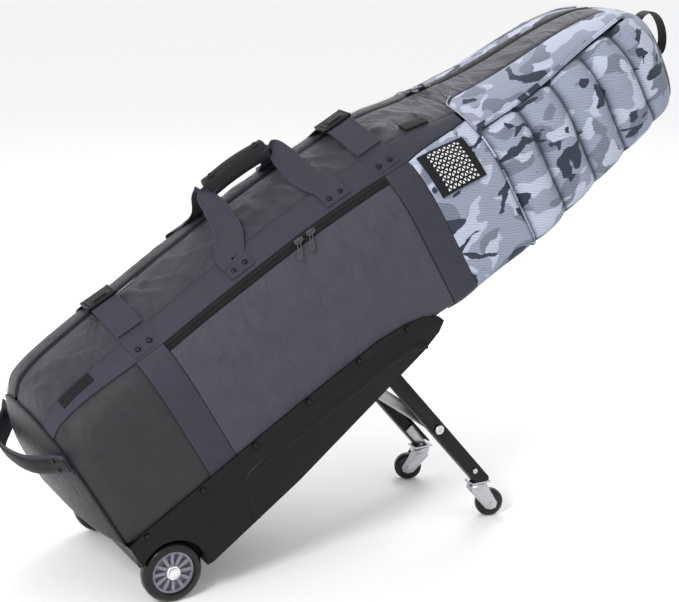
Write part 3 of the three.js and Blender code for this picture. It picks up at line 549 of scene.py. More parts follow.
cover_right = rect(FOOT, 827, 61.4, MAIN_ZIP - 1.9)
strip_right = rect(827.6, COVER_END, lambda s: strip_low(s) + 0.2, MAIN_ZIP - 1.9)
cover_left = rect(FOOT, 827, MAIN_ZIP + 1.9, 118.6)
strip_left = rect(827.6, COVER_END, MAIN_ZIP + 1.9, 104.2)
for name, (s, a), rough in (
        ("top_cover_right", cover_right, 1.5), ("strip_right", strip_right, 0.8),
        ("top_cover_left", cover_left, 1.0), ("strip_left", strip_left, 0.4)):
    sewn(name, s, a, COVER, crown=1.0, puff=0.5, grow=0.6, cap=6, rough=rough, dip=1.4,
         creased=4.5 * rough)
sewn("head_side_ridge_left", *rect(828.4, HEAD, 104.6, 106.1), CAMO, dip=0.6, cap=1)
sewn("floor_panel", *rect(FOOT, HEAD, -115.6, -64.4, 12), NYLON, crown=1, puff=0.2, grow=0.3, cap=3)


AROUND = np.linspace(-90, 270, 96, endpoint=False)
END_RIM = -12.3  # where the swollen bottom end begins


def disc(s_rim, out, rings):
    """Rings of points over a domed end from its rim inwards; `out` gives depth from size k."""
    rim = raw(float(s_rim), AROUND)
    middle = (through(RIDGE, s_rim) + through(FLOOR, s_rim)) / 2
    k = np.array(rings)[:, None]
    y = rim[None, :, 1] * k
    n = middle + (rim[None, :, 2] - middle) * k
    s = s_rim + out(k) + 0 * y
    return np.stack([s, y, n], -1)


def closed_sheet(name, points, material, cap, flip=False):
    """Records a panel that closes round the section, held by its two outer rings."""
    rows, columns = points.shape[:2]
    faces = grid_faces(rows, columns, wrap=True)
    verts = np.vstack([points.reshape(-1, 3), points[-1].mean(0, keepdims=True)])
    last = (rows - 1) * columns
    faces += [(last + j, len(verts) - 1, last + (j + 1) % columns) for j in range(columns)]
    if flip:
        faces = [tuple(reversed(f)) for f in faces]
    SOFT.append(dict(name=name, faces=faces, rest=world(verts), puff=0.5, grow=0.3, cap=cap,
                     pinned=np.arange(len(verts)) < 2 * columns, material=material,
                     uv=np.stack([verts[:, 1], verts[:, 2]], -1) / 1000))


end_rings = [1.0, 0.99, 0.975, 0.95, 0.91, 0.86, 0.8, 0.73, 0.65, 0.56, 0.46, 0.36, 0.26, 0.16,
             0.07]
end_points = disc(END_RIM, lambda k: -2.5 - 32 * (1 - k ** 2.6), end_rings)
end_points[0, :, 0] += 2.4
closed_sheet("end_panel", end_points, VINYL, 5, flip=True)

cap_rows = [on_bag(s, AROUND, lift)
            for s, lift in ((1196.2, -2.5), (1197.5, -0.8), (1203, 0.2), (1212, 0.2), (1222, 0.2),
                            (1232, 0.2), (1242, 0.0))]
nose_rings = [1.0, 0.97, 0.93, 0.87, 0.8, 0.72, 0.63, 0.53, 0.42, 0.31, 0.2, 0.1]
nose = disc(1250, lambda k: 20 * (1 - k ** 2), nose_rings)
closed_sheet("head_end_cap", np.concatenate([np.stack(cap_rows), nose]), CAMO, 4)

# The quilted pads: five stuffed channels between sewn valleys that run down the side.
VALLEYS = [(831, 831), (914, 905), (989, 980), (1066, 1055), (1139, 1133), (1226, 1220)]


def quilted(side):
    """Records one quilted pad; `across` runs over a channel and `along` up it."""
    t = np.array([0, 0.02, 0.055, 0.11, 0.19, 0.28, 0.37, 0.46, 0.55, 0.64, 0.73, 0.82, 0.9, 0.95,
                  0.98])
    low, rise = -66.0, np.array([0, 0.006, 0.02, *np.linspace(0.045, 0.955, 36), 0.98, 0.994, 1])
    s_rows = [(k, at) for k in range(5) for at in t] + [(4, 1.0)]
    s = np.zeros((len(s_rows), len(rise)))
    a = np.zeros_like(s)
    for i, (k, at) in enumerate(s_rows):
        lo = np.interp(rise, [0, 1], VALLEYS[k][::-1])
        hi = np.interp(rise, [0, 1], VALLEYS[k + 1][::-1])
        s[i] = lo + (hi - lo) * at
        top = pad_top(s[i])
        dense = np.linspace(low, top[-1], 200)
        run = run_along(on_bag(s[i].mean(), dense))
        a[i] = np.interp(rise * run[-1], run, dense)
    across = np.array([at for _, at in s_rows])[:, None]
    along = rise[None, :]
    swell = 1 - np.abs(2 * across - 1) ** 3.0
    swell = swell * np.clip((1 - along) / 0.08, 0, 1) ** 0.6
    lean = 1 + 0.45 * np.sin(math.pi * across) * (across - 0.5)
    height = -11 + 20 * swell * lean
    # A weight that peaks along the channel's sewn valleys; it only paints shade into the camo's
    # colour.
    valley_shade = np.exp(-(np.minimum(across, 1 - across) / 0.045) ** 1.4) * np.clip(along / 0.1, 0, 1)
    valley_shade = valley_shade * np.clip((1 - along) / 0.04, 0, 1)
    height = height + 1.1 * wave_noise(s, a * 3, 55, 11 if side == "right" else 12)
    height = height * (1 - np.clip(1 - along / 0.36, 0, 1) ** 0.85)
    height = height - 5.0 * np.clip((s - 1150) / 60, 0, 1)
    pins = np.zeros(s.shape, bool)
    pins[:, :2] = pins[:, -2:] = True
    for i, (_, at) in enumerate(s_rows):
        if at < 0.03 or at == 1:
            pins[i] = True
    if side == "left":
        s, height, pins, valley_shade = (x[:, ::-1] for x in (s, height, pins, valley_shade))
        a = mirrored(a)
    v = np.linspace(0, 0.26, s.shape[1])[None, :] + 0 * s
    SOFT.append(dict(
        name=f"head_pad_{side}", s=s, a=a, pinned=pins, puff=1.0, grow=1.0, cap=7,
        material=CAMO, uv=np.stack([s / 1000, v + (0.4 if side == "left" else 0)], -1),
        back=-8.0, rest=world(on_bag(s, a, height)), valley_shade=valley_shade))


for side in ("right", "left"):
    quilted(side)


def simulate():
    """One cloth run over every panel at once, pinned along its seams and sewn channels."""
    verts, faces, pins, puffs, grows = [], [], [], [], []
    for p in SOFT:
        start = len(verts)
        if "faces" not in p:
            p["faces"] = grid_faces(*p["s"].shape)
        faces += [tuple(i + start for i in f) for f in p["faces"]]
        flat = p["rest"].reshape(-1, 3)
        verts += [tuple(v) for v in flat]
        pins += list(p["pinned"].reshape(-1))
        puffs += [p["puff"]] * len(flat)
        grows += [p["grow"]] * len(flat)
        p["span"] = (start, len(verts))
    rest = np.array(verts)
    shape = new_object("simulated", rest, faces)
    for name, weights in (("pin", np.array(pins, float)), ("puff", np.array(puffs)),
                          ("grow", np.array(grows))):
        group = shape.vertex_groups.new(name=name)
        for weight in np.unique(weights):
            if weight > 0:
                group.add([int(i) for i in np.flatnonzero(weights == weight)], float(weight), "ADD")
    cloth = shape.modifiers.new("Cloth", "CLOTH")
    settings = cloth.settings
    settings.quality = 5
    settings.mass = 0.25
    settings.tension_stiffness = settings.compression_stiffness = 18
    settings.shear_stiffness = 6
    settings.bending_stiffness = 0.4
    settings.air_damping = 3
    settings.vertex_group_mass = "pin"
    settings.use_pressure = True
    settings.uniform_pressure_force = 4
    settings.vertex_group_pressure = "puff"
    settings.vertex_group_shrink = "grow"
    settings.shrink_min = 0.0
    settings.shrink_max = -0.035
    settings.effector_weights.gravity = 0
    cloth.collision_settings.use_collision = False
    cloth.point_cache.frame_start, cloth.point_cache.frame_end = 1, 20
    scene = bpy.context.scene
    for step in range(1, 21):
        scene.frame_set(step)
    mesh = shape.evaluated_get(bpy.context.evaluated_depsgraph_get()).to_mesh()
    moved = np.empty(len(mesh.vertices) * 3)
    mesh.vertices.foreach_get("co", moved)
    bpy.data.objects.remove(shape)
    scene.frame_set(1)
    return moved.reshape(-1, 3)


moved = simulate()
for p in SOFT:
    start, end = p["span"]
    flat = p["rest"].reshape(-1, 3)
    step = moved[start:end] - flat
    length = np.linalg.norm(step, axis=1, keepdims=True)
    limit = p["cap"] / 1000
    step = step * (limit * np.tanh(length / limit) / np.maximum(length, 1e-9))
    p["shaped"] = flat + step


def area_of(points, faces):
    q = np.array([f if len(f) == 4 else (*f, f[-1]) for f in faces])
    a, b, c, d = (points[q[:, k]] for k in range(4))
    halves = (np.linalg.norm(np.cross(y - x, z - x), axis=1) for x, y, z in ((a, b, c), (a, c, d)))
    return float(sum(h.sum() for h in halves) / 2)


REPLACED = {f"{name}_{side}": [] for side, _ in SIDES
            for name in ("head_side_upper", "head_side_ridge", "strip")}
for side, _ in SIDES:
    REPLACED[f"head_side_rear_{side}"] = [f"head_side_panel_{side}"]
SLOTS = {"coated_vinyl": "vinyl", "webbing": "webbing", "nylon": "nylon",
         "cover_nylon": "cover_nylon", "camo_print": "camo"}
for p in SOFT:
    faces = [tuple(f) for f in p["faces"]]
    verts, uv = p["shaped"], p["uv"].reshape(-1, 2)
    if "back" in p:
        rows, columns = p["s"].shape
        behind = world(on_bag(p["s"], p["a"], p["back"])).reshape(-1, 3)
        count = len(verts)
        verts = np.vstack([verts, behind])
        uv = np.vstack([uv, uv])
        rim = ([i * columns for i in range(rows)]
               + [(rows - 1) * columns + j for j in range(1, columns)]
               + [i * columns + columns - 1 for i in range(rows - 2, -1, -1)]
               + list(range(columns - 2, 0, -1)))
        faces += [tuple(reversed([i + count for i in f])) for f in p["faces"]]
        faces += [(rim[k], rim[(k + 1) % len(rim)], rim[(k + 1) % len(rim)] + count, rim[k] + count)
                  for k in range(len(rim))]
    piece = new_object(p["name"] + "_cloth", verts, faces, uv, p["material"].material)
    # The pads' valley weight goes on as a point attribute, read by the camo for its painted shade.
    if "valley_shade" in p:
        layer = piece.data.attributes.new("valley_shade", "FLOAT", "POINT")
        layer.data.foreach_set("value", np.tile(p["valley_shade"].ravel(), 2).astype(np.float32))
    smooth = piece.modifiers.new("Smooth", "SUBSURF")
    smooth.levels = smooth.render_levels = 1
    replaced = REPLACED.get(p["name"], [p["name"]])
    place(piece, "case", SLOTS[p["material"].name], *replaced)
    if "back" in p:
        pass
    elif p["name"] in ("head_end_cap", "end_panel"):
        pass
    else:
        area = area_of(p["rest"].reshape(-1, 3), p["faces"])
        length = float(np.ptp(p["s"]) / 1000)


# ------------------------------------------------------------------ hard parts
def finish_node(name, look):
    """Gives a CAD node its material."""
    data = frame["nodes"][name].data
    data.materials.clear()
    data.materials.append(look.material)
    data.polygons.foreach_set("use_smooth", [False] * len(data.polygons))


def soften(name, look, width, slot, segments=2, smooth_angle=32):
    """A CAD part again with rounded edges and smooth curved faces."""
    shape = bmesh.new()
    shape.from_mesh(frame["nodes"][name].data)
    bmesh.ops.remove_doubles(shape, verts=shape.verts, dist=1e-6)
    bmesh.ops.dissolve_limit(shape, angle_limit=math.radians(2), verts=shape.verts,
                             edges=shape.edges)
    mesh = bpy.data.meshes.new(name + "_finished")
    shape.to_mesh(mesh)
    shape.free()
    mesh.materials.append(look.material)
    mesh.polygons.foreach_set("use_smooth", [True] * len(mesh.polygons))
    piece = bpy.data.objects.new(name + "_finished", mesh)
    bpy.context.scene.collection.objects.link(piece)
    if width > 0:
        bevel = piece.modifiers.new("Bevel", "BEVEL")
        bevel.width, bevel.segments = width / 1000, segments
        bevel.limit_method, bevel.angle_limit = "ANGLE", math.radians(smooth_angle)
        bevel.harden_normals = True
    else:
        mesh.set_sharp_from_angle(angle=math.radians(smooth_angle))
    body = next(b for b, members in frame["record"]["behaviour"]["bodies"].items()
                if name in members)
    return place(piece, body, slot, name)


soften("base_shell", SHELL, 2.2, "shell", 3)
for side in ("right", "left"):
    soften(f"rear_tyre_{side}", TYRE, 0, "tyre", smooth_angle=40)
    soften(f"rear_rim_{side}", RIM, 0.45, "rim")
    soften(f"leg_{side}", BLACK, 0.7, "black_metal")
    soften(f"brace_{side}", ALUMINIUM, 0.6, "aluminium")
    soften(f"caster_plate_{side}", ZINC, 0.5, "zinc")
    soften(f"caster_fork_{side}", ZINC, 0.5, "zinc")
    soften(f"caster_wheel_{side}", TYRE, 0, "tyre", smooth_angle=40)
    finish_node(f"retaining_strip_{side}", BLACK)
for name, look in (("leg_cross_tube", BLACK), ("brace_rod", STEEL), ("rear_axle", STEEL)):
    soften(name, look, 0, "steel" if look is STEEL else "black_metal", smooth_angle=40)


# ------------------------------------------------------------------ trim helpers
def smooth_path(points, count):
    """A Catmull-Rom curve through points, evenly resampled."""
    p = np.asarray(points, float)
    p = np.vstack([2 * p[0] - p[1], p, 2 * p[-1] - p[-2]])
    t = np.linspace(0, 1, 24, endpoint=False)[:, None]
    parts = []
    for i in range(1, len(p) - 2):
        a, b, c, d = p[i - 1:i + 3]
        parts.append(0.5 * (2 * b + (c - a) * t + (2 * a - 5 * b + 4 * c - d) * t ** 2
                            + (3 * b - a - 3 * c + d) * t ** 3))
    line = np.vstack([*parts, p[-2:-1]])
    run = run_along(line)
    return sample(line, run, np.linspace(0, run[-1], count))


def unit(v):
    return v / np.maximum(np.linalg.norm(v, axis=-1, keepdims=True), 1e-9)


def sweep(path, up, section, across=None):
    """A closed section (N, 2) in (across, up) swept along a path, with flat ends."""
    path = np.asarray(path, float)
    along = unit(np.gradient(path, axis=0))
    up = np.broadcast_to(np.asarray(up, float), path.shape)
    if across is None:
        side = unit(np.cross(up, along))
    else:
        side = np.broadcast_to(unit(np.asarray(across, float)), path.shape)
    up = unit(np.cross(along, side))
    section = np.asarray(section, float)
    if section.ndim == 2:
        section = np.broadcast_to(section, (len(path), *section.shape))
    rings = (path[:, None] + side[:, None] * section[:, :, :1] + up[:, None] * section[:, :, 1:])
    rows, columns = rings.shape[:2]
    faces = grid_faces(rows, columns, wrap=True)
    faces.append(tuple(range(columns)))
    faces.append(tuple(reversed([(rows - 1) * columns + j for j in range(columns)])))
    return rings.reshape(-1, 3), faces


def round_section(radius, sides=10, flat=1.0):
    t = np.linspace(0, 2 * math.pi, sides, endpoint=False)
    return np.stack([np.cos(t) * radius, np.sin(t) * radius * flat], 1)


def band_section(width, thick, hem=0.0):
    """A webbing section: flat with rounded edges, and optional raised hems."""
    h, t = width / 2, thick
    top = [(-h, t * 0.35), (-h + 0.7, t), (-h + 4, t + hem), (-h + 6.5, t + hem), (-h + 8, t),
           (0, t + 0.15), (h - 8, t), (h - 6.5, t + hem), (h - 4, t + hem), (h - 0.7, t),
           (h, t * 0.35)]
    return np.array(top + [(h - 0.7, 0), (0, 0), (-h + 0.7, 0)])[::-1]


def solid(name, parts, look, body, slot, *nodes):
    """One piece from (verts, faces) parts in case mm."""
    verts, faces = merge(parts)
    verts = np.array(verts)
    uv = np.stack([verts[:, 0], verts[:, 1] + verts[:, 2] * 0.7], 1) / 1000
    piece = new_object(name, world(verts), faces, uv, look.material)
    mesh = piece.data
    shape = bmesh.new()
    shape.from_mesh(mesh)
    bmesh.ops.recalc_face_normals(shape, faces=shape.faces)
    shape.to_mesh(mesh)
    shape.free()
    mesh.set_sharp_from_angle(angle=math.radians(38))
    return place(piece, body, slot, *nodes)


def turned(points, at, axis, sides=20):
    """A lathed (radius, height) profile standing at a point along an axis."""
    axis = unit(np.asarray(axis, float))
    other = np.array([0, 1.0, 0]) if abs(axis[1]) < 0.9 else np.array([1.0, 0, 0])
    u = unit(np.cross(axis, other))
    v = np.cross(axis, u)
    t = np.linspace(0, 2 * math.pi, sides, endpoint=False)
    verts = [np.asarray(at) + axis * h + (u * math.cos(x) + v * math.sin(x)) * r
             for r, h in points for x in t]
    faces = grid_faces(len(points), sides, wrap=True)
    faces.append(tuple(reversed(range(sides))))
    faces.append(tuple((len(points) - 1) * sides + j for j in range(sides)))
    return np.array(verts), faces


DOME = [(4.7, 0), (4.7, 0.5), (4.1, 1.3), (3.0, 2.0), (1.6, 2.4), (0.5, 2.5)]


def dome_on_bag(s, a, lift):
    return turned(DOME, on_bag(s, a, lift), normal(s, a), 16)


def box_part(low, high):
    (x0, y0, z0), (x1, y1, z1) = low, high
    verts = [(x, y, z) for x in (x0, x1) for y in (y0, y1) for z in (z0, z1)]
    faces = [(0, 1, 3, 2), (4, 6, 7, 5), (0, 4, 5, 1), (2, 3, 7, 6), (0, 2, 6, 4), (1, 5, 7, 3)]
    return np.array(verts, float), faces


STITCHES = []


def stitch(path, up, pitch=4.4, length=3.1):
    """A row of raised stitches along a path."""
    path = np.asarray(path, float)
    run = run_along(path)
    at = np.arange(pitch / 2, run[-1], pitch)
    up = np.broadcast_to(np.asarray(up, float), path.shape)
    centre, rise = sample(path, run, at), unit(sample(up, run, at))
    along = unit(sample(path, run, at + 1) - sample(path, run, at - 1))
    side = np.cross(rise, along)
    for c, t, w, h in zip(centre, along, side, rise):
        verts = [c - t * length / 2, c + t * length / 2, c + w * 0.42, c - w * 0.42,
                 c + h * 0.45, c - h * 0.3]
        faces = [(0, 4, 3), (0, 2, 4), (1, 3, 4), (1, 4, 2), (0, 3, 5), (0, 5, 2), (1, 5, 3),
                 (1, 2, 5)]
        STITCHES.append((verts, faces))


def bag_line(s, a, lift):
    """A line on the bag, `lift` mm out, and the direction up from it at each point."""
    s, a = np.broadcast_arrays(np.asarray(s, float), np.asarray(a, float))
    return on_bag(s, a, lift), normal(s, a)


def mirror_angle(a, side):
    return a if side == "right" else 180 - a


def sew(s, a, side, lift, *size):
    """Stitches along a line on the bag, given for the right side and mirrored to `side`."""
    stitch(*bag_line(s, mirror_angle(a, side), lift), *size)


def lathed(name, profile, at, sign, sides, look, body, slot, *nodes):
    """A turned piece that points outwards across the case from a point in metres."""
    verts, faces = turned(profile, (0, 0, 0), (0, sign, 0), sides)
    piece = new_object(name, verts / 1000 + np.array(at), faces, None, look.material)
    piece.data.set_sharp_from_angle(angle=math.radians(30))
    place(piece, body, slot, *nodes)


# ------------------------------------------------------------------ moulded base trim
for side, sign in SIDES:
    low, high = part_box(f"leg_bolt_{side}")
    middle = (np.array(low) + np.array(high)) / 2
    inner, outer = (low[1], high[1]) if sign > 0 else (high[1], low[1])
    length = abs(outer - inner) * 1000
    profile = [(6.5, 0), (6.5, 4), (5, 4), (5, 9), (7.5, 9), (7.5, length - 5), (5, length - 5),
               (5, length - 4), (8.4, length - 4), (8.4, length - 1), (7.4, length),
               (3.4, length), (3.1, length - 1.6), (0.4, length - 1.6)]
    lathed(f"leg_bolt_{side}_turned", profile, (middle[0], inner, middle[2]), sign, 24, STEEL,
           "legs", "steel", f"leg_bolt_{side}")
    low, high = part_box(f"rear_rim_{side}")
    centre = (np.array(low) + np.array(high)) / 2
    face = high[1] if sign > 0 else low[1]
    profile = [(11.6, -2.5), (11.6, 0.4), (10.9, 1.1), (9.2, 1.3), (8.6, 2.6), (7.4, 3.4),
               (5.4, 4.2), (3.4, 4.6), (3.0, 3.4), (1.6, 3.2)]
    lathed(f"hub_cap_{side}", profile, (centre[0], face - sign * 0.001, centre[2]), sign, 32,
           CHROME, f"rear_wheel_{side}", "rim")

SHELL_FACE = 169.4  # how far the shell's sides stand from the middle
BEAD = [(181, 32), (185, 62), (194, 90), (212, 103), (245, 108), (300, 109), (400, 110.5),
        (490, 113), (540, 111), (572, 99)]
GROOVE = [(60, 121), (132, 126), (240, 134.5), (350, 139.5), (456, 142), (540, 137)]
RIVETS = [(20.5, 129), (132, 135), (240, 143), (350, 148), (456, 151), (554, 145)]
for side, sign in SIDES:
    bead = smooth_path([(s, sign * SHELL_FACE, n) for s, n in BEAD], 90)
    rib = sweep(bead, (0, sign, 0), round_section(8, 14, 0.45))
    lip = smooth_path([(s, sign * (SHELL_FACE + 0.4), n) for s, n in GROOVE], 60)
    thin = sweep(lip, (0, sign, 0), round_section(1.0, 8, 0.8))
    solid(f"base_rib_{side}", [rib, thin], SHELL, "case", "shell")
    rivets = [turned(DOME, (s, sign * (SHELL_FACE + 2.2), n), (0, sign, 0), 16) for s, n in RIVETS]
    solid(f"base_rivets_{side}", rivets, BUCKLE, "case", "black_metal")

# ------------------------------------------------------------------ zippers
def zip_tape(name, s0, s1, low, high, slot_node):
    """Two tape edges with the covered coil and its centre groove between them."""
    rows = np.linspace(s0, s1, int((s1 - s0) / 9))
    across = np.array([0, 0.06, 0.16, 0.24, 0.36, 0.45, 0.485, 0.515, 0.55, 0.64, 0.76, 0.84,
                       0.94, 1])
    rise = np.array([-1.2, 0.2, 0.35, 0.2, 1.3, 1.5, 0.5, 0.5, 1.5, 1.3, 0.2, 0.35, 0.2, -1.2])
    s = np.repeat(rows[:, None], len(across), 1)
    a = low + (high - low) * across[None] + 0 * s
    points = on_bag(s, a, rise[None] + 0 * s)
    uv = np.stack([s, across[None] * 9 + 0 * s], -1).reshape(-1, 2) / 1000
    piece = new_object(name, world(points).reshape(-1, 3), grid_faces(*s.shape), uv,
                       ZIPPER.material)
    return place(piece, "case", "zipper", slot_node)


zip_tape("side_zip_right", 207, 649, *SIDE_ZIP, "side_zipper_right")
zip_tape("side_zip_left", 207, 649, 180 - SIDE_ZIP[1], 180 - SIDE_ZIP[0], "side_zipper_left")
zip_tape("main_zip", -8, 1194, MAIN_ZIP - 1.8, MAIN_ZIP + 1.8, "main_zipper")


def ring_plate(at, along, up, length, width, thick, hole):
    """A flat pull with rounded ends and a long hole."""
    side = unit(np.cross(up, along))
    t = np.linspace(0, 2 * math.pi, 36, endpoint=False)
    def loop(half_l, half_w, h):
        x = np.sign(np.cos(t)) * np.abs(np.cos(t)) ** 0.55 * half_l
        y = np.sign(np.sin(t)) * np.abs(np.sin(t)) ** 0.75 * half_w
        return at + along * (x[:, None] + length / 2) + side * y[:, None] + up * h
    loops = [loop(length / 2, width / 2, 0), loop(length / 2, width / 2, thick),
             loop(length / 2 - hole, width / 2 - hole, thick),
             loop(length / 2 - hole, width / 2 - hole, 0)]
    verts = np.vstack(loops)
    faces = []
    for k in range(4):
        for j in range(36):
            a, b = k * 36 + j, k * 36 + (j + 1) % 36
            c, d = ((k + 1) % 4) * 36 + (j + 1) % 36, ((k + 1) % 4) * 36 + j
            faces.append((a, b, c, d))
    return verts, faces


HANG = np.array([-math.sin(LEAN), 0, -math.cos(LEAN)])


def slider(node, s, angle):
    """A slider with its bail, ring and tab; a side one's pull hangs down the case."""
    at, up = on_bag(s, angle, 2.3), normal(s, angle)
    along = unit(np.array([1.0, 0, 0]) - up * up[0])
    down = unit(HANG - up * (HANG @ up)) if "side" in node else np.cross(along, up)
    stations = np.linspace(-8, 8, 9)
    width = np.interp(stations, [-8, -6, 4, 8], [4.6, 9.4, 8.6, 6.2])
    sections = np.stack([np.array([(-w / 2, 0), (w / 2, 0), (w / 2, 2.6), (w / 2 - 0.9, 3.4),
                                   (-w / 2 + 0.9, 3.4), (-w / 2, 2.6)]) for w in width])
    body = sweep(at + along * stations[:, None], up, sections)
    bridge = smooth_path([at + along * -5 + up * 3.2, at + along * -4 + up * 5.6, at + up * 6.2,
                          at + along * 4 + up * 5.6, at + along * 5.4 + up * 3.2], 14)
    bail = sweep(bridge, down, round_section(1.0, 8))
    pull = ring_plate(at + up * 4.6 + down * 1.5, unit(down + up * 0.06), up, 15, 6.4, 1.3, 1.5)
    tab = ring_plate(at + up * 4.3 + down * 15.2, unit(down + up * 0.03), up, 17, 7.6, 2.2, 2.6)
    solid(node + "_finished", [body, bail, pull, tab], DARK_METAL, node, "zip_metal", node)


for side in ("right", "left"):
    middle = mirror_angle(37.75, side)
    slider(f"side_slider_rear_{side}", 471, middle)
    slider(f"side_slider_front_{side}", 495, middle)
slider("main_slider_rear", 822, MAIN_ZIP)
slider("main_slider_front", 846, MAIN_ZIP)

# ------------------------------------------------------------------ straps
def strap_uv(piece, columns, width):
    """UVs along and across a strap swept with `columns` points to its section."""
    layer = piece.data.uv_layers.active
    index = np.empty(len(piece.data.loops), np.int32)
    piece.data.loops.foreach_get("vertex_index", index)
    row, column = index // columns, index % columns
    uv = np.stack([row * 4.0, column * width / columns * 2], 1) / 1000
    layer.data.foreach_set("uv", uv.astype(np.float32).ravel())


def riveted_patch(s, a, sign_a, width=46):
    """The stitched square and its two rivets that hold a strap end to the shoulder band."""
    for x in (-width / 2 + 3, width / 2 - 3):
        sew(s + x, np.linspace(a - 5.4, a + 4.6, 12), "right", 4.5, 3.6, 2.6)
    for y in (-5.2, 4.6):
        run = np.linspace(s - width / 2 + 3, s + width / 2 - 3, 14)
        sew(run, a + y, "right", 4.5, 3.6, 2.6)
    return [dome_on_bag(s + x, a - 0.6 * sign_a, 3.6) for x in (-11, 11)]


def compression_strap(name, s, lift):
    """A strap over the ridge, its folded tail and its buckle."""
    ridge = float(through(RIDGE, s))
    right = [on_bag(s, a, 2.0) for a in (44.5, 48, 53, 58)]
    top = [np.array([s, y, ridge + lift]) for y in (-27, -9)]
    half = right + top
    path = half + [p * np.array([1, -1, 1]) for p in half[::-1]]
    line = smooth_path(path, 150)
    section = band_section(48, 1.8)
    part = sweep(line, (0, 0, 1), section, across=(1, 0, 0))
    domes = riveted_patch(s, 49.5, 1) + riveted_patch(s, 130.5, -1)
    strap = solid(name + "_strap_webbing", [part], STRAP, "case", "webbing", name + "_strap")
    strap_uv(strap, len(section), 48)
    solid(name + "_rivets", domes, BLACK, "case", "black_metal")
    up = unit(np.cross(np.array([1.0, 0, 0]), np.gradient(line, axis=0)))
    up = up * np.sign(up[:, 2:3])
    flap = (line + up * 2.2)[24:64]
    fold = (line + up * 4.2)[24:30]
    tail = [sweep(flap, (0, 0, 1), band_section(47, 1.8), across=(1, 0, 0)),
            sweep(fold, (0, 0, 1), band_section(46, 2.0), across=(1, 0, 0))]
    solid(name + "_strap_tail", tail, STRAP, "case", "webbing")
    stitch(fold[4:6].mean(0) + np.array([[-20, 0, 0], [20, 0, 0]]) + up[28] * 2.0, up[[28, 28]])
    for x in (-21.5, 21.5):
        stitch((line + up * 1.9)[6:24] + np.array([x, 0, 0]), up[6:24])
        stitch((flap + up[24:64] * 1.9) + np.array([x, 0, 0]), up[24:64])
    base = ridge + lift + 2.2
    parts = [box_part((s - 22, -13, base), (s + 22, 16, base + 7)),
             box_part((s - 27, -18, base + 0.5), (s + 27, -12, base + 6)),
             box_part((s - 27, 15, base + 0.5), (s + 27, 21, base + 6)),
             box_part((s - 27, -18, base + 0.5), (s - 22.5, 21, base + 6.5)),
             box_part((s + 22.5, -18, base + 0.5), (s + 27, 21, base + 6.5)),
             box_part((s - 14, -9, base + 6), (s + 14, 12, base + 8.6))]
    buckle = solid(name + "_buckle_body", parts, BUCKLE, "case", "buckle", name + "_buckle")
    bevel = buckle.modifiers.new("Bevel", "BEVEL")
    bevel.width, bevel.segments = 0.002, 3


compression_strap("rear_compression", 181, 19)
compression_strap("front_compression", 664, 21)

# ------------------------------------------------------------------ carry handle
GRIP_N = 474  # height of the straps inside the grip
GRIP_ENDS = (421, 539)
REAR_LOOP, FRONT_LOOP = 373, 565  # where the handle's straps are riveted down


def handle_leg(side, s, grip_s, sign):
    """From the riveted band end up to the mouth of the grip."""
    ends = [on_bag(s, mirror_angle(a, side), rise)
            for a, rise in ((44.5, 1.6), (49, 2.1), (54, 2.6), (58.5, 3.2))]
    out = np.sign(s - grip_s)
    sag = 14 if side == "left" else 3
    rise = [np.array([s + (grip_s - s) * 0.5, sign * 74, 429 - sag]),
            np.array([grip_s + out * 13, sign * 33, 455 - sag]),
            np.array([grip_s + out * 11, sign * 11, 470.5]),
            np.array([grip_s - out * 2, sign * 5.5, GRIP_N]),
            np.array([grip_s - out * 22, sign * 5.5, GRIP_N])]
    line = smooth_path(ends + rise, 90)
    t = np.linspace(0, 1, 90)
    final = unit(np.array([0.0, sign * out, 0.55]))
    turn = np.clip((t - 0.6) / 0.4, 0, 1)[:, None] ** 1.6
    across = unit(np.array([1.0, 0, 0]) * (1 - turn) - final * turn * out * sign) * sign
    width = np.interp(t, [0, 0.45, 0.68, 0.84, 1], [46, 46, 41, 28, 17])
    sections = np.stack([band_section(w, 1.9) for w in width])
    along = unit(np.gradient(line, axis=0))
    across = unit(across - along * (across * along).sum(1, keepdims=True))
    part = sweep(line, (0, 0, 1), sections, across=across)
    up = unit(np.cross(along, across))
    for k in (-1, 1):
        edge = line + across * (width[:, None] / 2 - 2.6) * k
        stitch(edge[8:70] + up[8:70] * 1.9, up[8:70])
    return part


for side, sign in SIDES:
    parts = [handle_leg(side, REAR_LOOP, 422, sign), handle_leg(side, FRONT_LOOP, 538, sign)]
    loop = solid(f"handle_loop_{side}_webbing", parts, STRAP, "case", "webbing",
                 f"handle_loop_{side}")
    strap_uv(loop, 14, 46)
    angle = mirror_angle(49.5, side)
    domes = [*riveted_patch(REAR_LOOP, angle, -sign, 44),
             *riveted_patch(FRONT_LOOP, angle, -sign, 44)]
    solid(f"handle_rivets_{side}", domes, BLACK, "case", "black_metal")


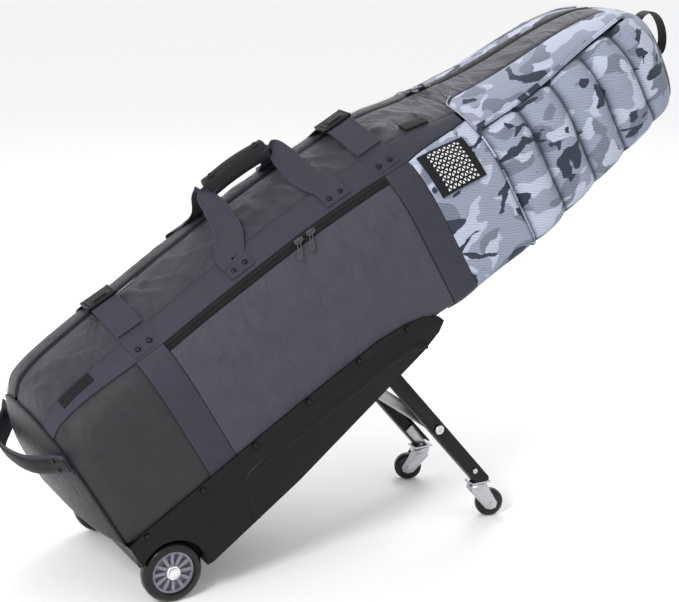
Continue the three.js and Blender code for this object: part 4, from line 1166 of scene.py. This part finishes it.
def grip():
    """A wrapped rubber sleeve with flared ends, a lap seam and two press studs."""
    s = np.concatenate([[421, 421.6], np.linspace(423.5, 536.5, 25), [538.4, 539]])
    t = np.linspace(0, 2 * math.pi, 40, endpoint=False)
    rings = []
    for x in s:
        u = (x - 480) / 59
        swell = 1 + 0.09 * np.exp(-((abs(u) - 0.97) / 0.09) ** 2) - 0.05 * u * u
        end = 0.82 if x in GRIP_ENDS else 1.0
        y = np.sign(np.cos(t)) * np.abs(np.cos(t)) ** 0.72 * 14.5 * swell * end
        n = np.sign(np.sin(t)) * np.abs(np.sin(t)) ** 0.72 * 16.5 * swell * end
        lap = 1.3 * (np.sin(t) > 0.45) * (np.cos(t) < 0.2)
        rings.append(np.stack([np.full(40, x), y * (1 + lap / 30), n + lap
                               + GRIP_N + 4.5 * (1 - u * u)], 1))
    verts = np.array(rings).reshape(-1, 3)
    faces = grid_faces(len(s), 40, wrap=True)
    last = (len(s) - 1) * 40
    faces += [tuple(reversed(range(40))), tuple(last + j for j in range(40))]
    studs = [turned([(5.4, 0), (5.4, 0.9), (4.4, 1.5), (3.9, 1.1), (0.6, 1.3)],
                    (x, -7.5, GRIP_N + 18.6 + 4.5 * (1 - ((x - 480) / 59) ** 2)), (0, -0.35, 1), 20)
             for x in (436, 524)]
    solid("handle_grip_sleeve", [(verts, faces), *studs], GRIP, "case", "grip_rubber",
          "handle_grip")
    # Dark discs over the sleeve's two ends are painted shade inside its open mouths.
    mouth = [turned([(11.5, 0), (11.5, 0.4), (0.5, 0.5)], (x, 0, GRIP_N + 0.2), (d, 0, 0), 24)
             for x, d in zip(GRIP_ENDS, (-1, 1))]
    solid("handle_grip_mouth_shade", mouth, BLACK_STRAP, "case", "grip_rubber")


grip()

# ------------------------------------------------------------------ haul loop and head loop
def end_depth(y, n):
    """How far the swollen bottom end stands out at a point of it."""
    k = (np.abs(y / 150) ** 2.7 + np.abs((n - 240) / 116) ** 2.7) ** (1 / 2.7)
    return 3.5 + 32 * np.maximum(0, 1 - np.minimum(k, 1) ** 2.6)


def haul_loop():
    """The wide pull loop across the bottom end, with a dark inner band and four rivets."""
    ys = np.array([-146, -132, -118, -100, -74, -40, 0, 40, 74, 100, 118, 132, 146.0])
    out = np.array([2.0, 2.2, 2.6, 9, 19, 27, 30, 27, 19, 9, 2.6, 2.2, 2.0])
    up = np.array([0, 0, 0, 1, 4, 10, 13, 10, 4, 1, 0, 0, 0.0])
    n = 298 + up
    s = END_RIM - end_depth(ys, n - 12) - out
    line = smooth_path(np.stack([s, ys, n], 1), 110)
    section = band_section(38, 2.4, hem=1.1)
    part = sweep(line, (0, 0, 1), section, across=(0, 0, 1))
    loop = solid("haul_loop_webbing", [part], STRAP, "case", "webbing", "haul_loop")
    strap_uv(loop, len(section), 38)
    along = unit(np.gradient(line, axis=0))
    face = unit(np.cross(along, (0.0, 0, 1.0)))
    face = face * -np.sign(face[:, :1])
    for x in (-14, 14):
        stitch(line + np.array([0, 0, x]) + face * 3.6, face)
    core = sweep(line + face * 2.1, (0, 0, 1), band_section(23, 1.3), across=(0, 0, 1))
    solid("haul_core", [core], BLACK_STRAP, "case", "webbing")
    domes = []
    for y in (-124, 124):
        for dn in (-10, 10):
            at = (END_RIM - end_depth(y, 286.0) - 5.2, y, 298 + dn)
            domes.append(turned(DOME, at, (-1, 0, 0), 16))
    solid("haul_rivets", domes, BLACK, "case", "black_metal")


haul_loop()
nose_line = smooth_path([(1263, 0, 266), (1275, 0, 270), (1290, 0, 266), (1300, 0, 250),
                         (1301, 0, 228), (1294, 0, 206), (1281, 0, 191), (1266, 0, 190)], 60)
section = band_section(24, 1.9)
part = sweep(nose_line, (0, 0, 1), section, across=(0, 1, 0))
loop = solid("head_loop_webbing", [part], BLACK_STRAP, "case", "webbing", "head_loop")
strap_uv(loop, len(section), 24)

# ------------------------------------------------------------------ patches, piping and stitching
def patch(name, s0, s1, a0, a1, look, slot, lift):
    """A thin rectangle sewn on top of the fabric, with its edges turned down to it."""
    rows, columns = 22, 18
    edge = lambda c: np.concatenate([[0, 0.02], np.linspace(0.05, 0.95, c - 4), [0.98, 1]])
    s = s0 + (s1 - s0) * np.repeat(edge(rows)[:, None], columns, 1)
    a = a0 + (a1 - a0) * np.repeat(edge(columns)[None], rows, 0)
    rim = np.zeros(s.shape)
    rim[0], rim[-1], rim[:, 0], rim[:, -1] = 1, 1, 1, 1
    points = on_bag(s, a, lift * (1 - rim) - 0.4 * rim)
    u, v = (s - (s0 + s1) / 2) / 1000, np.repeat(edge(columns)[None] - 0.5, rows, 0)
    arc = np.linalg.norm(points[rows // 2, 0] - points[rows // 2, -1]) / 1000
    uv = np.stack([u, v * arc], -1).reshape(-1, 2)
    piece = new_object(name, world(points).reshape(-1, 3), grid_faces(rows, columns), uv,
                       look.material)
    place(piece, "case", slot)


for side in ("right", "left"):
    a0, a1 = (10, 40) if side == "right" else (140, 170)
    patch(f"vent_{side}", 711, 798, a0, a1, VENT, "camo", 6.2)
    for a in (a0 + 0.8, a1 - 0.8):
        sew(np.linspace(712, 797, 20), a, "right", 6.6)
patch("blank_label_low", 28, 90, 52.5, 60.3, LABEL, "webbing", 2.6)
patch("blank_label_high", 732, 776, 62.5, 69.5, LABEL, "cover_nylon", 4.2)


def cord(s, a, lift, radius):
    line, up = bag_line(s, a, lift)
    return sweep(line, up, round_section(radius, 8))


# Dark cords behind the seams keep light from passing between two panels; their dark colour is
# painted shade in the cracks of the seams.
for side, _ in SIDES:
    around = mirror_angle(np.linspace(FLOOR_SEAM, 38, 60), side)
    cords = [cord(s, around, -2.6, 2.2) for s in CROSS_SEAMS]
    s = np.linspace(-10, BAND_END, 120)
    cords += [cord(s, mirror_angle(a, side), -2.6, 2.2) for a in (band_low(s), 61.2)]
    solid(f"seam_shade_cord_{side}", cords, PIPING_LOOK, "case", "nylon")

solid("end_piping", [cord(-12.6, np.linspace(-66, 246, 160), 0.6, 2.1)], PIPING_LOOK, "case",
      "vinyl")
for side, _ in SIDES:
    curve = mirror_angle(np.linspace(FLOOR_SEAM, float(band_low(BAND_END)), 70), side)
    solid(f"head_piping_{side}", [cord(827.8, curve, 1.4, 1.7)], CAMO, "case", "camo")
    top = np.linspace(51, 78, 50)
    s = 827.4 + 22 * np.clip((top - 69) / 9, 0, 1) ** 2
    solid(f"cover_piping_{side}", [cord(s, mirror_angle(top, side), 1.6, 1.4)], PALE_CORD, "case",
          "camo")
    low_edge = cord(np.linspace(640, 1236, 120), mirror_angle(-65.2, side), 1.2, 2.0)
    solid(f"floor_piping_{side}", [low_edge], PIPING_LOOK, "case", "nylon")
    s = np.linspace(829, HEAD, 120)
    a = pad_top(s) + 0.4
    line, up = bag_line(s, mirror_angle(a, side), 1.8)
    if side == "left":
        line, up = line[::-1], up[::-1]
    solid(f"pad_binding_{side}", [sweep(line, up, band_section(10, 1.4))], CAMO, "case", "camo")
    for shift in (-1.3, 1.3):
        sew(s, a + shift, side, 4.4)
    run = np.linspace(-8, 816, 200)
    for edge in (band_low(run) + 1.2, 59.9):
        sew(run, edge, side, 2.6)
    for seam, inset, low in zip(CROSS_SEAMS, (2.7, -2.7) * 2, (-60, -60, -62, -62)):
        at = seam + inset
        sew(at, np.linspace(low, float(band_low(at)) - 0.8, 80), side, 2.4)
    sew(np.linspace(212, 646, 120), 32.9, side, 2.4)
    if side == "right":
        run = np.linspace(832, 1190, 100)
        sew(run, strip_low(run) + 1.1, side, 2.2)
for edge in (MAIN_ZIP - 3, MAIN_ZIP + 3):
    sew(np.linspace(-6, 1190, 280), edge, "right", 2.3)

verts = np.array([v for part, _ in STITCHES for v in part])
faces = [tuple(i + 6 * k for i in f) for k, (_, part) in enumerate(STITCHES) for f in part]
thread = new_object("stitching", world(verts), faces, None, THREAD.material, False)
place(thread, "case", "webbing")


# ------------------------------------------------------------------ floor, light and camera
floor = new_object("floor", [(-30, -30, 0), (30, -30, 0), (30, 30, 0), (-30, 30, 0)],
                   [(0, 1, 2, 3)])
ground = Look("floor_paint", (0.95, 0.95, 0.95), 0.8)
ground.bump(ground.noise(ground.coordinates("Object"), 6), 0.0005, 0.1)
floor.data.materials.append(ground.material)

camera = bpy.data.objects.new("camera", bpy.data.cameras.new("camera"))
bpy.context.scene.collection.objects.link(camera)
camera.data.sensor_width = 36
camera.data.lens = 92.92
camera.location = (ORIGIN_X - 0.954, -2.511, 1.237)
look_along = Vector((0.451, 0.847, -0.2825))
camera.rotation_euler = look_along.to_track_quat("-Z", "Y").to_euler()
bpy.context.scene.camera = camera


def area_light(name, place_at, aim, size, power):
    light = bpy.data.lights.new(name, "AREA")
    light.shape, light.size, light.energy = "DISK", size, power
    lamp = bpy.data.objects.new(name, light)
    lamp.location = place_at
    lamp.rotation_euler = (Vector(aim) - Vector(place_at)).to_track_quat("-Z", "Y").to_euler()
    bpy.context.scene.collection.objects.link(lamp)


area_light("key", (-2.3, -1.6, 2.3), (-0.2, 0, 0.4), 0.9, 56)
area_light("side", (-2.6, -1.4, 1.0), (0, 0, 0.3), 1.0, 6)
area_light("rim", (1.2, 1.6, 2.2), (0.3, 0, 0.5), 1.4, 22)
backdrop = bpy.data.worlds.new("studio")
backdrop.use_nodes = True
backdrop.node_tree.nodes["Background"].inputs[0].default_value = (0.99, 0.99, 1.0, 1)
backdrop.node_tree.nodes["Background"].inputs[1].default_value = 0.95
bpy.context.scene.world = backdrop
bpy.context.scene.view_settings.view_transform = "Standard"
